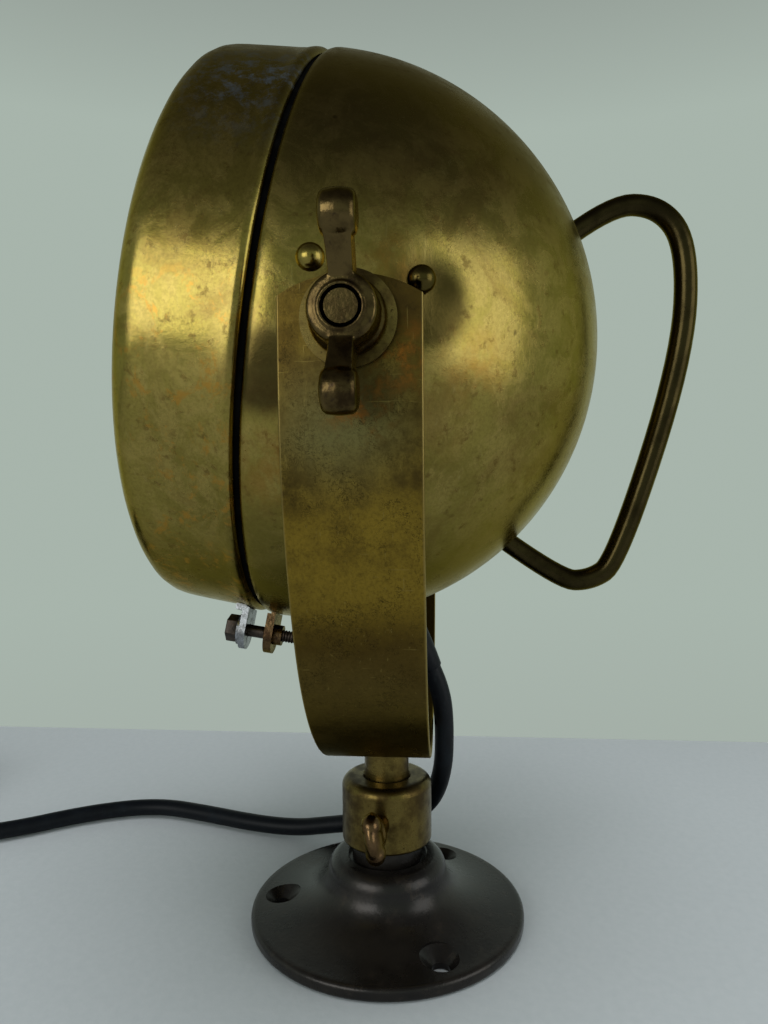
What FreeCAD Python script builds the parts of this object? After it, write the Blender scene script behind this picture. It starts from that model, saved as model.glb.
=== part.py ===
import FreeCAD, Part
import math
import os

# Signal lamp on a yoke, a swivelling post and a flanged foot, in millimetres.
# Origin: the centre of the foot's underside. +Z is up and the lamp looks along -Y.

os.makedirs("parts", exist_ok=True)
V = FreeCAD.Vector

# Clearances
running_fit = 0.05
loose_fit = 0.2
seat_gap = 0.1
rubber_gap = 0.3

# Post, the collar that holds it and the thumb screw; steps are differences between radii
post_radius = 7.7
post_show = 12.0
tenon_step = 2.7
tenon_show = 1.5
post_nut_wall = 2.5
post_nut_height = 6.5
post_nut_chamfer = 1.4
post_washer_width = 4.5
post_washer_height = 1.5
thread_step = 2.3
thread_length = 5.5
collar_wall = 5.6
collar_lift = 5.5
collar_height = 22.0
collar_round = 3.2
collar_foot_round = 1.0
collar_mouth = 0.75
thumb_angle = -5.0
thumb_screw_radius = 2.5
thumb_neck_step = 0.9
thumb_neck_length = 3.0
thumb_leaf_height = 16.8
thumb_leaf_reach = 13.5
thumb_leaf_thickness = 5.4

# Foot: a cast flange with a bell-shaped neck and a threaded spigot
spigot_step = 2.2
spigot_chamfer = 0.6
groove_width = 1.4
groove_depth = 1.6
lip_step = 0.8
lip_height = 22.0
shoulder_height = 6.0
neck_step = 4.4
flare_reach = 15.0
flare_rise = 6.4
web_height = 5.2
flange_width = 11.7
foot_edge = 4.2
foot_edge_round = 1.2
foot_hollow_wall = 4.8
foot_hollow_height = 9.0
foot_hole_count = 3
foot_hole_inset = 9.5
foot_hole_radius = 2.9
foot_sink_step = 2.9

# Yoke: a bent strap with arched ends, clear of the lamp's shell
strap_width = 32.4
strap_thickness = 3.0
arm_clearance = 1.8
bend_clearance = 36.3
knee_below_pivot = 10.0
side_sweep = 27.3
arm_top = 10.2
arm_arch = 4.8
strap_edge_round = 0.5

# Lamp head: the shell is a hemisphere with a short straight mouth
head_tilt = 8.8
pivot_back = 23.35
pivot_drop = 5.1
shell_radius = 90.2
shell_wall = 1.2
shell_mouth = 2.0
shell_bead = 0.6

# Front rim, measured along the head's axis ahead of the shell's mouth
rim_gap = 3.6
rim_step = 0.9
rim_wall = 1.2
rim_bead = 0.7
rim_bead_width = 2.0
rim_straight = 22.0
rim_taper = 0.9
rim_shoulder_depth = 9.0
rim_shoulder_width = 10.9
rim_lip_width = 2.0
rim_lip_rise = 0.7

# Lens, reflector and their seats
lens_overlap = 7.5
lens_curve = 290.0
lens_thickness = 3.0
lens_gasket_thickness = 0.85
lens_gasket_inset = 0.8
lens_gasket_margin = 1.5
lip_slack = 0.87
seat_ring_step = 2.6
seat_ring_wall = 1.2
seat_ring_reach = 12.0
seat_ring_depth = 5.5
gasket_width = 1.5
gasket_length = 7.4
reflector_focus = 29.0
reflector_inset = 4.0
reflector_flange = 5.5
reflector_wall = 0.9
clip_width = 8.0
clip_thickness = 0.8
clip_bend = 2.6
clip_count = 4

# Electric lamp on the reflector's axis
holder_radius = 9.2
holder_wall = 1.2
holder_length = 24.0
holder_flange = 4.0
holder_front = 6.0
holder_mouth_radius = 4.6
insulator_setback = 3.0
insulator_thickness = 4.0
cap_setback = 12.5
cap_length = 21.0
cap_socket = 3.0
bulb_radius = 13.3
bulb_wall = 0.8
bulb_neck_step = 0.7
filament_width = 6.0
lead_radius = 1.1
lead_drop = 9.0
contact_radius = 1.2

# Pivots
stud_radius = 3.5
stud_head_step = 3.0
stud_head_height = 9.0
spacer_wall = 5.5
spacer_sink = 4.0
pivot_washer_width = 7.2
pivot_washer_height = 2.0
plate_margin = 3.2
plate_thickness = 2.2
rivet_offset = 13.8
rivet_front_offset = 11.7
rivet_head_radius = 3.3
rivet_head_height = 2.6
rivet_radius = 1.6
nut_height = 12.0
nut_base_step = 1.2
nut_wall = 3.9
nut_lip_wall = 1.4
nut_sink_step = 0.65
nut_sink_depth = 2.2
ear_length = 14.3
ear_lobe_radius = 4.6
ear_lift = 1.0
ear_thickness = 6.8

# Rim clamp, turned towards the near side from the lowest point
clamp_turn = 15.0
clamp_standoff = 6.0
clamp_screw_radius = 1.9
clamp_screw_length = 26.0
clamp_head_across = 7.6
clamp_head_height = 3.6
clamp_washer_width = 3.0
clamp_washer_height = 1.0
tab_width = 12.0
rim_tab_thickness = 2.0
rim_tab_setback = 1.6
shell_tab_thickness = 2.6
shell_tab_setback = 0.8
tab_foot_length = 2.8
tab_foot_thickness = 1.0
tab_boss_wall = 1.3
tab_boss_height = 2.4

# Handle: a round rod bent in the head's middle plane. Each point is an angle above the
# head's axis at the back, in degrees, and a distance out from the shell's surface.
handle_rod_radius = 3.4
handle_points = [
    (31.21, -10.11),
    (35.20, 14.92),
    (31.19, 30.67),
    (23.74, 34.99),
    (6.72, 29.42),
    (-27.45, 31.95),
    (-32.21, 28.93),
    (-35.69, 21.22),
    (-38.50, -7.79),
]
handle_nut_wall = 2.1
handle_nut_height = 4.0

# Cord outlet under the shell
gland_side = -10.0
gland_back = 38.0
gland_lean = 11.9
gland_mouth_wall = 1.5
gland_taper = 1.2
gland_flange_width = 2.0
gland_flange_height = 2.2
gland_length = 9.0
gland_thread_length = 6.0
gland_nut_wall = 3.0
boot_wall = 2.0
boot_tip_wall = 1.2
boot_length = 20.0

# Cord: its route, from the gland past the strap's rear edge to the table and along it
cord_diameter = 7.0
table_clear = 0.1
upper_route = [
    (-12.1, 11.1, 93.0),
    (-13.1, 15.6, 83.9),
    (-13.5, 18.5, 76.3),
    (-13.6, 20.0, 68.2),
    (-13.9, 20.1, 60.2),
]
lower_route = [
    (-13.9, 20.1, 60.2),
    (-14.2, 20.2, 52.2),
    (-15.8, 19.0, 43.2),
    (-19.0, 16.4, 34.8),
    (-23.6, 12.3, 27.7),
    (-29.4, 6.6, 21.9),
    (-35.7, -0.3, 17.0),
    (-41.6, -8.6, 13.0),
    (-46.5, -18.6, 9.9),
    (-49.6, -30.2, 7.1),
]
run_route = [
    (-49.6, -30.2, 7.1),
    (-53.0, -43.0, 4.0),
    (-56.6, -62.0, 3.7),
    (-64.0, -84.0, 3.7),
    (-71.5, -111.0, 3.7),
    (-62.0, -139.0, 3.7),
    (-41.0, -168.0, 3.7),
    (-27.0, -205.0, 4.6),
]

# Coil of the cord's put-away length, its tie and its plug
coil_entry = (-22.0, -245.0)
coil_lift = 1.1
coil_outer = 48.0
coil_pitch = 7.7
coil_turns_in = 3
coil_quarters_out = 11
coil_dip = 1.6
tail_length = 46.0
tie_width = 9.0
tie_thickness = 0.8
tie_angle = 125.0
plug_entry_radius = 5.4
plug_neck_radius = 7.0
plug_neck_length = 22.0
plug_radius = 13.0
plug_length = 25.0
plug_pin_radius = 2.4
plug_pin_length = 19.0
plug_pin_spacing = 19.0

# Radii that follow from the sizes, from the post outwards
cord_radius = cord_diameter / 2
tenon_radius = post_radius - tenon_step
post_washer_radius = tenon_radius + post_washer_width
post_nut_across = 2 * (tenon_radius + post_nut_wall)
thread_radius = post_radius + thread_step
collar_radius = thread_radius + collar_wall
thumb_neck_radius = thumb_screw_radius + thumb_neck_step
spigot_radius = thread_radius + spigot_step
groove_radius = spigot_radius + groove_width
lip_radius = collar_radius + lip_step
neck_radius = lip_radius + neck_step
foot_radius = neck_radius + flare_reach + flange_width
foot_hollow_radius = neck_radius - foot_hollow_wall
foot_hole_circle = foot_radius - foot_hole_inset
foot_sink_radius = foot_hole_radius + foot_sink_step
shell_inner = shell_radius - shell_wall
arm_inner = shell_radius + arm_clearance
arm_reach = arm_inner + strap_thickness
yoke_depth = shell_radius + bend_clearance
rim_radius = shell_radius - rim_step
seat_ring_radius = shell_inner - seat_ring_step
clamp_radius = shell_radius + shell_bead + clamp_standoff
stud_head_radius = stud_radius + stud_head_step
spacer_radius = stud_radius + spacer_wall
pivot_washer_radius = stud_radius + pivot_washer_width
plate_half = rivet_offset + plate_margin
nut_radius = stud_radius + nut_wall
nut_base_radius = nut_radius + nut_base_step
nut_lip_radius = stud_radius + nut_lip_wall
nut_sink_radius = stud_radius + nut_sink_step
ear_tip = nut_radius + ear_length
cap_radius = holder_radius - holder_wall - loose_fit - loose_fit
bulb_neck_radius = cap_radius - bulb_neck_step
handle_nut_across = 2 * (handle_rod_radius + handle_nut_wall)
gland_mouth_radius = cord_radius + gland_mouth_wall
gland_body_radius = gland_mouth_radius + gland_taper
gland_flange_radius = gland_body_radius + gland_flange_width
gland_thread_radius = gland_mouth_radius
gland_nut_radius = gland_thread_radius + gland_nut_wall
clamp_washer_radius = clamp_screw_radius + clamp_washer_width
tab_boss_radius = clamp_screw_radius + tab_boss_wall

# Heights and places that follow from the sizes
spigot_top = lip_height + collar_lift
thread_top = spigot_top + thread_length
collar_top = spigot_top + collar_height
strap_under = collar_top + post_show
strap_top = strap_under + strap_thickness
pivot_height = strap_under + yoke_depth
tilt = math.radians(head_tilt)
mouth_centre = V(
    0,
    pivot_drop * math.sin(tilt) - pivot_back * math.cos(tilt),
    pivot_height + pivot_drop * math.cos(tilt) + pivot_back * math.sin(tilt),
)
head_place = FreeCAD.Placement(mouth_centre, FreeCAD.Rotation(V(1, 0, 0), 90 - head_tilt))
ball_centre = V(0, 0, -shell_mouth)


def save(name, *solids):
    """One STEP file per node: a single solid, or a group of separate ones."""
    shape = solids[0] if len(solids) == 1 else Part.makeCompound(list(solids))
    shape.exportStep("parts/" + name + ".step")


def on_head(shape):
    """Moves a piece from the head's own frame (across, up, forward) to its place on the yoke."""
    placed = shape.copy()
    placed.Placement = head_place.multiply(placed.Placement)
    return placed


def outline(start, *steps):
    """Closed wire from (radius, height) points; a pair of points is an arc's middle and end."""
    edges = []
    here = V(start[0], 0, start[1])
    for step in steps + (start,):
        if isinstance(step[0], tuple):
            middle = V(step[0][0], 0, step[0][1])
            there = V(step[1][0], 0, step[1][1])
            edges.append(Part.Arc(here, middle, there).toShape())
        else:
            there = V(step[0], 0, step[1])
            edges.append(Part.makeLine(here, there))
        here = there
    return Part.Wire(edges)


def lathe(start, *steps):
    """Solid turned about Z from a closed outline."""
    return Part.Face(outline(start, *steps)).revolve(V(0, 0, 0), V(0, 0, 1), 360)


def slab(start, steps, thickness):
    """An outline in XZ given a thickness across Y, half to each side."""
    face = Part.Face(outline(start, *steps))
    face.translate(V(0, -thickness / 2, 0))
    return face.extrude(V(0, thickness, 0))


def rod(radius, start, end):
    """Round bar between two points."""
    along = end - start
    return Part.makeCylinder(radius, along.Length, start, along)


def hexagon(across, height):
    """Hexagonal prism on Z from its size across the flats."""
    corner = across / 2 / math.cos(math.pi / 6)
    points = []
    for k in range(7):
        angle = k * math.pi / 3
        points.append(V(corner * math.cos(angle), corner * math.sin(angle), 0))
    return Part.Face(Part.makePolygon(points)).extrude(V(0, 0, height))


def stand_on(shape, point, direction):
    """Moves a shape made on +Z so that it stands on a point and points along a direction."""
    placed = shape.copy()
    turn = FreeCAD.Rotation(V(0, 0, 1), direction)
    placed.Placement = FreeCAD.Placement(point, turn).multiply(placed.Placement)
    return placed


def arc_middle(start, corner, end):
    """Middle of the arc that leaves start and reaches end along the two sides of a corner."""
    chord = (start + end) * 0.5
    lean = (chord - start).Length / (corner - start).Length
    return chord + (corner - chord) * (lean / (1 + lean))


def rounded_path(points):
    """Straight runs joined by tangent arcs, as large as the runs allow; gives edges and radii."""
    edges = []
    radii = []
    here = points[0]
    for k in range(1, len(points) - 1):
        back = points[k - 1] - points[k]
        ahead = points[k + 1] - points[k]
        reach = 0.45 * min(back.Length, ahead.Length)
        turn = math.pi - back.getAngle(ahead)
        start = points[k] + back * (reach / back.Length)
        end = points[k] + ahead * (reach / ahead.Length)
        edges.append(Part.LineSegment(here, start).toShape())
        edges.append(Part.Arc(start, arc_middle(start, points[k], end), end).toShape())
        radii.append(reach / math.tan(turn / 2))
        here = end
    edges.append(Part.LineSegment(here, points[-1]).toShape())
    return edges, radii


def sweep(edges, radius):
    """Round tube along a path of lines and arcs."""
    path = Part.Wire(edges)
    start = edges[0].Vertexes[0].Point
    heading = edges[0].tangentAt(edges[0].FirstParameter)
    section = Part.Wire([Part.makeCircle(radius, start, heading)])
    tube = path.makePipeShell([section], True, False)
    return tube, path.Length


def bent_tube(name, points, radius):
    """Tube along hand-chosen points; prints its radii and its volume against section times length."""
    edges, radii = rounded_path(points)
    tube, length = sweep(edges, radius)
    share = tube.Volume / (math.pi * radius ** 2 * length)
    print(name, "radii", [round(r, 1) for r in radii], "length", round(length, 1), "fill", round(share, 4))
    return tube, length


def make_foot():
    """Cast flange: flat rim, concave flare, round shoulder, lip, groove and spigot, three holes."""
    neck_foot = web_height + flare_rise
    shoulder = lip_height - shoulder_height
    bell = neck_radius - lip_radius
    foot = lathe(
        (foot_hollow_radius, 0),
        (foot_radius - foot_edge_round, 0),
        ((foot_radius - 0.29 * foot_edge_round, 0.29 * foot_edge_round), (foot_radius, foot_edge_round)),
        (foot_radius, foot_edge - foot_edge_round),
        (
            (foot_radius - 0.29 * foot_edge_round, foot_edge - 0.29 * foot_edge_round),
            (foot_radius - foot_edge_round, foot_edge),
        ),
        (neck_radius + flare_reach, web_height),
        (
            (neck_radius + 0.33 * flare_reach, web_height + 0.24 * flare_rise),
            (neck_radius + 0.3, neck_foot),
        ),
        (neck_radius, shoulder),
        ((lip_radius + 0.75 * bell, lip_height - 0.3 * shoulder_height), (lip_radius, lip_height)),
        (groove_radius, lip_height),
        (groove_radius, lip_height - groove_depth),
        (spigot_radius, lip_height - groove_depth),
        (spigot_radius, spigot_top - spigot_chamfer - seat_gap),
        (spigot_radius - spigot_chamfer, spigot_top - seat_gap),
        (thread_radius, spigot_top - seat_gap),
        (thread_radius, thread_top),
        (0, thread_top),
        (0, foot_hollow_height),
        (foot_hollow_radius / 2, foot_hollow_height),
    )
    sink_depth = foot_sink_radius - foot_hole_radius
    for k in range(foot_hole_count):
        angle = math.radians(360 / foot_hole_count * k - 90)
        x = foot_hole_circle * math.cos(angle)
        y = foot_hole_circle * math.sin(angle)
        hole = Part.makeCylinder(foot_hole_radius, web_height + 2, V(x, y, -1))
        sink_foot = V(x, y, foot_edge - sink_depth + 0.5)
        sink = Part.makeCone(foot_hole_radius, foot_sink_radius + 1, sink_depth + 1, sink_foot)
        foot = foot.cut(hole).cut(sink)
    return foot


def thumb_direction():
    angle = math.radians(thumb_angle)
    return V(math.cos(angle), math.sin(angle), 0)


thumb_height = spigot_top + collar_height / 2


def make_collar():
    """Turned collar: screws on the spigot, holds the post in its bore, takes the thumb screw."""
    bore = post_radius + running_fit
    seat = thread_top + seat_gap
    collar = lathe(
        (thread_radius + running_fit, spigot_top),
        (collar_radius - collar_foot_round, spigot_top),
        (
            (collar_radius - 0.29 * collar_foot_round, spigot_top + 0.29 * collar_foot_round),
            (collar_radius, spigot_top + collar_foot_round),
        ),
        (collar_radius, collar_top - collar_round),
        (
            (collar_radius - 0.29 * collar_round, collar_top - 0.29 * collar_round),
            (collar_radius - collar_round, collar_top),
        ),
        (bore + collar_mouth, collar_top),
        (bore, collar_top - collar_mouth),
        (bore, seat),
        (thread_radius + running_fit, seat),
    )
    centre = V(0, 0, thumb_height)
    hole = rod(thumb_screw_radius + running_fit, centre, centre + thumb_direction() * (collar_radius + 1))
    return collar.cut(hole)


def make_thumb_screw():
    """Screw with a neck and a flat leaf, standing out of the collar towards the near side."""
    out = thumb_direction()
    centre = V(0, 0, thumb_height)
    neck_start = collar_radius + rubber_gap
    shank_end = centre + out * (neck_start + thumb_neck_length / 2)
    shank = rod(thumb_screw_radius, centre + out * (post_radius + rubber_gap), shank_end)
    neck = rod(thumb_neck_radius, centre + out * neck_start, centre + out * (neck_start + thumb_neck_length))
    leaf_start = neck_start + thumb_neck_length - 1
    half = thumb_leaf_height / 2
    low_x = leaf_start + thumb_leaf_reach * 0.35
    high_x = leaf_start + thumb_leaf_reach * 0.7
    leaf = slab(
        (leaf_start, -half * 0.4),
        [
            ((low_x, -half * 0.96), (high_x, -half * 0.8)),
            ((leaf_start + thumb_leaf_reach, 0), (high_x, half * 0.8)),
            ((low_x, half * 0.96), (leaf_start, half * 0.4)),
        ],
        thumb_leaf_thickness,
    )
    leaf.translate(centre)
    leaf.rotate(centre, V(0, 0, 1), thumb_angle)
    return shank.fuse([neck, leaf]).removeSplitter()


def side_arcs():
    """Radii of the strap's two outer bends, from its reach, depth and sweep."""
    sweep_angle = math.radians(side_sweep)
    drop = yoke_depth - knee_below_pivot
    share = (1 - math.sin(sweep_angle)) / math.cos(sweep_angle)
    side = (drop - share * arm_reach) / (math.sin(sweep_angle) - share * (1 - math.cos(sweep_angle)))
    bottom = (arm_reach - side * (1 - math.cos(sweep_angle))) / math.cos(sweep_angle)
    return side, bottom


def strap_curve(inset):
    """Points of the strap's bend at a depth under its outer face, from one arm's knee to the other."""
    side, bottom = side_arcs()
    knee = pivot_height - knee_below_pivot
    sweep_angle = math.radians(side_sweep)
    points = []
    for angle in (0, sweep_angle / 2, sweep_angle):
        x = arm_reach - side + (side - inset) * math.cos(angle)
        points.append((x, knee - (side - inset) * math.sin(angle)))
    lowest = (0, strap_under + inset)
    mirrored = [(-x, z) for x, z in reversed(points)]
    return points, lowest, mirrored


def make_strap():
    """Flat bar bent to a U, its arms ending in shallow arches, with pivot holes and a post hole."""
    right, lowest, left = strap_curve(0)
    right_in, lowest_in, left_in = strap_curve(strap_thickness)
    top = pivot_height + arm_top
    bar = slab(
        (arm_reach, top + 1),
        [
            right[0],
            (right[1], right[2]),
            (lowest, left[0]),
            (left[1], left[2]),
            (-arm_reach, top + 1),
            (-arm_inner, top + 1),
            left_in[2],
            (left_in[1], left_in[0]),
            (lowest_in, right_in[2]),
            (right_in[1], right_in[0]),
            (arm_inner, top + 1),
        ],
        strap_width,
    )
    half = strap_width / 2
    arm_face = Part.Face(
        outline(
            (-half - 1, strap_under - 1),
            (half + 1, strap_under - 1),
            (half + 1, top - arm_arch),
            (half, top - arm_arch),
            ((0, top), (-half, top - arm_arch)),
            (-half - 1, top - arm_arch),
        )
    )
    arm_face.rotate(V(0, 0, 0), V(0, 0, 1), 90)
    arm_face.translate(V(-arm_reach - 1, 0, 0))
    strap = bar.common(arm_face.extrude(V(2 * arm_reach + 2, 0, 0)))
    long_edges = [e for e in strap.Edges if abs(e.BoundBox.YLength) < 0.01 and e.Length > strap_width]
    strap = strap.makeFillet(strap_edge_round, long_edges)
    axle_end = V(arm_reach + 1, 0, 0)
    pivot = V(0, 0, pivot_height)
    axle = rod(stud_radius + running_fit, pivot - axle_end, pivot + axle_end)
    tenon = rod(tenon_radius + running_fit, V(0, 0, strap_under - 1), V(0, 0, strap_top + 2))
    return strap.cut(axle).cut(tenon)


def make_post(strap):
    """Post with a tenon through the strap, its shoulder fitted to the strap's curve."""
    shoulder = lathe(
        (0, thread_top + seat_gap),
        (post_radius, thread_top + seat_gap),
        (post_radius, strap_under + 1),
        (0, strap_under + 1),
    ).cut(strap)
    tenon_top = strap_top + post_washer_height + post_nut_height + tenon_show
    tenon = rod(tenon_radius, V(0, 0, strap_under - 1), V(0, 0, tenon_top))
    return shoulder.fuse(tenon).removeSplitter()


def make_post_washer(strap):
    bore = tenon_radius + loose_fit
    ring = lathe(
        (bore, strap_top),
        (post_washer_radius, strap_top),
        (post_washer_radius, strap_top + post_washer_height),
        (bore, strap_top + post_washer_height),
    )
    return ring.cut(strap)


def make_post_nut():
    foot = strap_top + post_washer_height
    nut = hexagon(post_nut_across, post_nut_height)
    crown = lathe(
        (0, -1),
        (post_nut_across, -1),
        (post_nut_across / 2 + post_nut_chamfer, post_nut_height - post_nut_chamfer),
        (post_nut_across / 2 - 0.4, post_nut_height),
        (0, post_nut_height),
    )
    nut = nut.common(crown)
    nut.translate(V(0, 0, foot))
    return nut.cut(rod(tenon_radius + running_fit, V(0, 0, foot - 1), V(0, 0, foot + post_nut_height + 1)))


def ball(radius):
    return Part.makeSphere(radius, ball_centre)


def ball_point(across, up, forward, radius):
    """Point of a sphere round the shell's centre, on the line from that centre to a point."""
    outward = V(across, up, forward) - ball_centre
    outward.normalize()
    return ball_centre + outward * radius


def shell_point(across, up, forward):
    """Point of the shell's outer face above (up, forward), on the side that across names."""
    level = forward + shell_mouth
    reach = math.sqrt(shell_radius ** 2 - up ** 2 - level ** 2)
    return V(math.copysign(reach, across), up, forward)


rivet_places = []
for up_step in (-1, 1):
    for forward_step in (-1, 1):
        forward_offset = rivet_front_offset if forward_step > 0 else -rivet_offset
        rivet_places.append((rivet_offset * up_step - pivot_drop, forward_offset - pivot_back))

gland_depth = math.sqrt(shell_radius ** 2 - gland_side ** 2 - (gland_back - shell_mouth) ** 2)
gland_seat = V(gland_side, -gland_depth, -gland_back)
gland_normal = (gland_seat - ball_centre).normalize()
gland_axis = FreeCAD.Rotation(V(1, 0, 0), gland_lean).multVec(gland_normal)


def handle_path():
    points = []
    for angle, standoff in handle_points:
        reach = shell_radius + standoff
        up = reach * math.sin(math.radians(angle))
        points.append(V(0, up, -shell_mouth - reach * math.cos(math.radians(angle))))
    return points


def make_shell():
    """Spun hemisphere with a rolled front edge, pierced for pivots, rivets, handle and gland."""
    lowest = -shell_mouth - shell_radius
    outer_mid = (shell_radius * math.sin(math.pi / 4), -shell_mouth - shell_radius * math.cos(math.pi / 4))
    inner_mid = (shell_inner * math.sin(math.pi / 4), -shell_mouth - shell_inner * math.cos(math.pi / 4))
    shell = lathe(
        (shell_inner, 0),
        (shell_radius - 0.1, 0),
        ((shell_radius + shell_bead, -shell_mouth / 2), (shell_radius, -shell_mouth)),
        (outer_mid, (0, lowest)),
        (0, lowest + shell_wall),
        (inner_mid, (shell_inner, -shell_mouth)),
    )
    reach = shell_radius + 5
    axle = rod(stud_radius + loose_fit, pivot_point(-reach), pivot_point(reach))
    shell = shell.cut(axle)
    for side in (-1, 1):
        for up, forward in rivet_places:
            seat = shell_point(side, up, forward)
            normal = (seat - ball_centre).normalize()
            shell = shell.cut(rod(rivet_radius + running_fit, seat - normal * 4, seat + normal * 2))
    path = handle_path()
    for end, neighbour in ((path[0], path[1]), (path[-1], path[-2])):
        shell = shell.cut(rod(handle_rod_radius + running_fit, end, neighbour))
    depth = gland_axis * gland_thread_length
    hole = rod(gland_thread_radius + loose_fit, gland_seat - depth, gland_seat + depth)
    return shell.cut(hole)


def make_seat_ring():
    """Stepped ring inside the shell's mouth; its narrow part reaches forward under the rim."""
    inner = seat_ring_radius - seat_ring_wall
    wide = shell_inner - 2 * seat_gap - 0.3
    return lathe(
        (inner, seat_ring_reach),
        (seat_ring_radius, seat_ring_reach),
        (seat_ring_radius, -0.5),
        (wide, -0.5),
        (wide, -seat_ring_depth),
        (inner, -seat_ring_depth),
    )


def make_rim_gasket():
    inner = seat_ring_radius + seat_gap
    return lathe(
        (inner, -0.4),
        (inner + gasket_width, -0.4),
        (inner + gasket_width, gasket_length - 0.4),
        (inner, gasket_length - 0.4),
    )


shoulder_start = rim_gap + rim_bead_width + rim_straight
shoulder_radius = rim_radius - rim_taper
rim_top = shoulder_start + rim_shoulder_depth
rim_top_radius = shoulder_radius - rim_shoulder_width
rim_opening_radius = rim_top_radius - rim_lip_width
lens_radius = rim_opening_radius + lens_overlap
reflector_radius = lens_radius - reflector_inset
clip_outer = seat_ring_radius + rubber_gap + rubber_gap


def make_rim():
    """Spun rim: rolled rear edge, nearly straight wall, round shoulder and a lip over the lens."""
    bead_end = rim_gap + rim_bead_width
    shoulder_mid = (
        shoulder_radius - 0.24 * rim_shoulder_width,
        shoulder_start + 0.61 * rim_shoulder_depth,
    )
    inner_mid = (shoulder_mid[0] - 0.8 * rim_wall, shoulder_mid[1] - 0.75 * rim_wall)
    lip = rim_top + rim_lip_rise
    return lathe(
        (rim_radius - rim_wall, rim_gap),
        (rim_radius - 0.1, rim_gap),
        ((rim_radius + rim_bead, rim_gap + rim_bead_width / 2), (rim_radius, bead_end)),
        (shoulder_radius, shoulder_start),
        (shoulder_mid, (rim_top_radius, rim_top)),
        (rim_opening_radius, lip),
        (rim_opening_radius, lip - rim_wall),
        (rim_top_radius - 0.4, rim_top - rim_wall),
        (inner_mid, (shoulder_radius - rim_wall, shoulder_start - 0.1)),
        (rim_radius - rim_wall, bead_end),
    )


lens_seat_radius = rim_opening_radius + lens_gasket_inset
lens_seat = rim_top + rim_lip_rise - rim_wall - lip_slack - lens_gasket_thickness - seat_gap
lens_pole = lens_seat + lens_curve - math.sqrt(lens_curve ** 2 - lens_seat_radius ** 2)


def lens_height(radius, thickness=0.0):
    """Height of the lens's face at a radius, or of its back face with the thickness given."""
    curve = lens_curve - thickness
    return lens_pole - lens_curve + math.sqrt(curve ** 2 - radius ** 2)


def make_lens():
    half = lens_radius / 2
    return lathe(
        (0, lens_height(0, lens_thickness)),
        ((half, lens_height(half, lens_thickness)), (lens_radius, lens_height(lens_radius, lens_thickness))),
        (lens_radius, lens_height(lens_radius)),
        ((half, lens_height(half)), (0, lens_pole)),
    )


def make_lens_gasket():
    inner = lens_seat_radius
    outer = lens_radius - lens_gasket_margin
    return lathe(
        (inner, lens_height(inner) + seat_gap),
        (outer, lens_height(outer) + seat_gap),
        (outer, lens_height(outer) + seat_gap + lens_gasket_thickness),
        (inner, lens_height(inner) + seat_gap + lens_gasket_thickness),
    )


flange_face = lens_height(lens_radius, lens_thickness) - seat_gap
reflector_vertex = flange_face - reflector_radius ** 2 / (4 * reflector_focus)


def make_reflector():
    """Paraboloid dish with a hole for the lamp holder and a flat flange behind the lens."""
    hole = holder_radius + loose_fit
    steps = 8
    front = []
    back = []
    for k in range(steps + 1):
        radius = hole + (reflector_radius - hole) * k / steps
        height = reflector_vertex + radius ** 2 / (4 * reflector_focus)
        slope = math.atan(radius / (2 * reflector_focus))
        front.append(V(radius, 0, height))
        back.append(
            V(radius + reflector_wall * math.sin(slope), 0, height - reflector_wall * math.cos(slope))
        )
    inside = Part.BSplineCurve()
    inside.interpolate(front)
    outside = Part.BSplineCurve()
    outside.interpolate(back)
    edge = reflector_radius + reflector_flange
    brim = Part.makePolygon([front[-1], V(edge, 0, front[-1].z), V(edge, 0, back[-1].z), back[-1]])
    hole_edge = Part.makeLine(front[0], back[0])
    wire = Part.Wire([inside.toShape()] + brim.Edges + [outside.toShape(), hole_edge])
    return Part.Face(wire).revolve(V(0, 0, 0), V(0, 0, 1), 360)


def make_clips():
    """Bent springs between the rim's wall and the back of the reflector's flange."""
    foot = seat_ring_reach + clip_bend
    bend = flange_face - reflector_wall - seat_gap
    toe = reflector_radius + clip_thickness
    clips = []
    for k in range(clip_count):
        clip = slab(
            (clip_outer - clip_thickness, foot),
            [
                (clip_outer, foot),
                (clip_outer, bend - clip_bend),
                (toe, bend),
                (toe, bend - clip_thickness),
                (clip_outer - clip_thickness, bend - clip_bend - clip_thickness),
            ],
            clip_width,
        )
        clip.rotate(V(0, 0, 0), V(0, 0, 1), 45 + 360 / clip_count * k)
        clips.append(clip)
    return clips


holder_seat = reflector_vertex + holder_radius ** 2 / (4 * reflector_focus)
holder_flange_face = holder_seat - reflector_wall - holder_wall
holder_back = holder_flange_face - holder_length + holder_front
cap_back = holder_back + cap_setback
cap_front = cap_back + cap_length
filament_height = reflector_vertex + reflector_focus


def make_holder():
    bore = holder_radius - holder_wall
    front = holder_flange_face + holder_front
    return lathe(
        (holder_mouth_radius, holder_back),
        (holder_radius, holder_back),
        (holder_radius, holder_flange_face - holder_wall),
        (holder_radius + holder_flange, holder_flange_face - holder_wall),
        (holder_radius + holder_flange, holder_flange_face),
        (holder_radius, holder_flange_face),
        (holder_radius, front),
        (bore, front),
        (bore, holder_back + holder_wall),
        (holder_mouth_radius, holder_back + holder_wall),
    )


contact_x = filament_width / 2


def make_insulator():
    foot = holder_back + holder_wall + insulator_setback
    disc = Part.makeCylinder(holder_radius - holder_wall - seat_gap, insulator_thickness, V(0, 0, foot))
    for side in (-1, 1):
        place = V(side * contact_x, 0, foot - insulator_thickness)
        disc = disc.cut(Part.makeCylinder(contact_radius + running_fit, 3 * insulator_thickness, place))
    return disc


def make_contacts():
    start = holder_back + holder_wall + insulator_setback / 2
    length = cap_back - seat_gap - start
    return [Part.makeCylinder(contact_radius, length, V(side * contact_x, 0, start)) for side in (-1, 1)]


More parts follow.
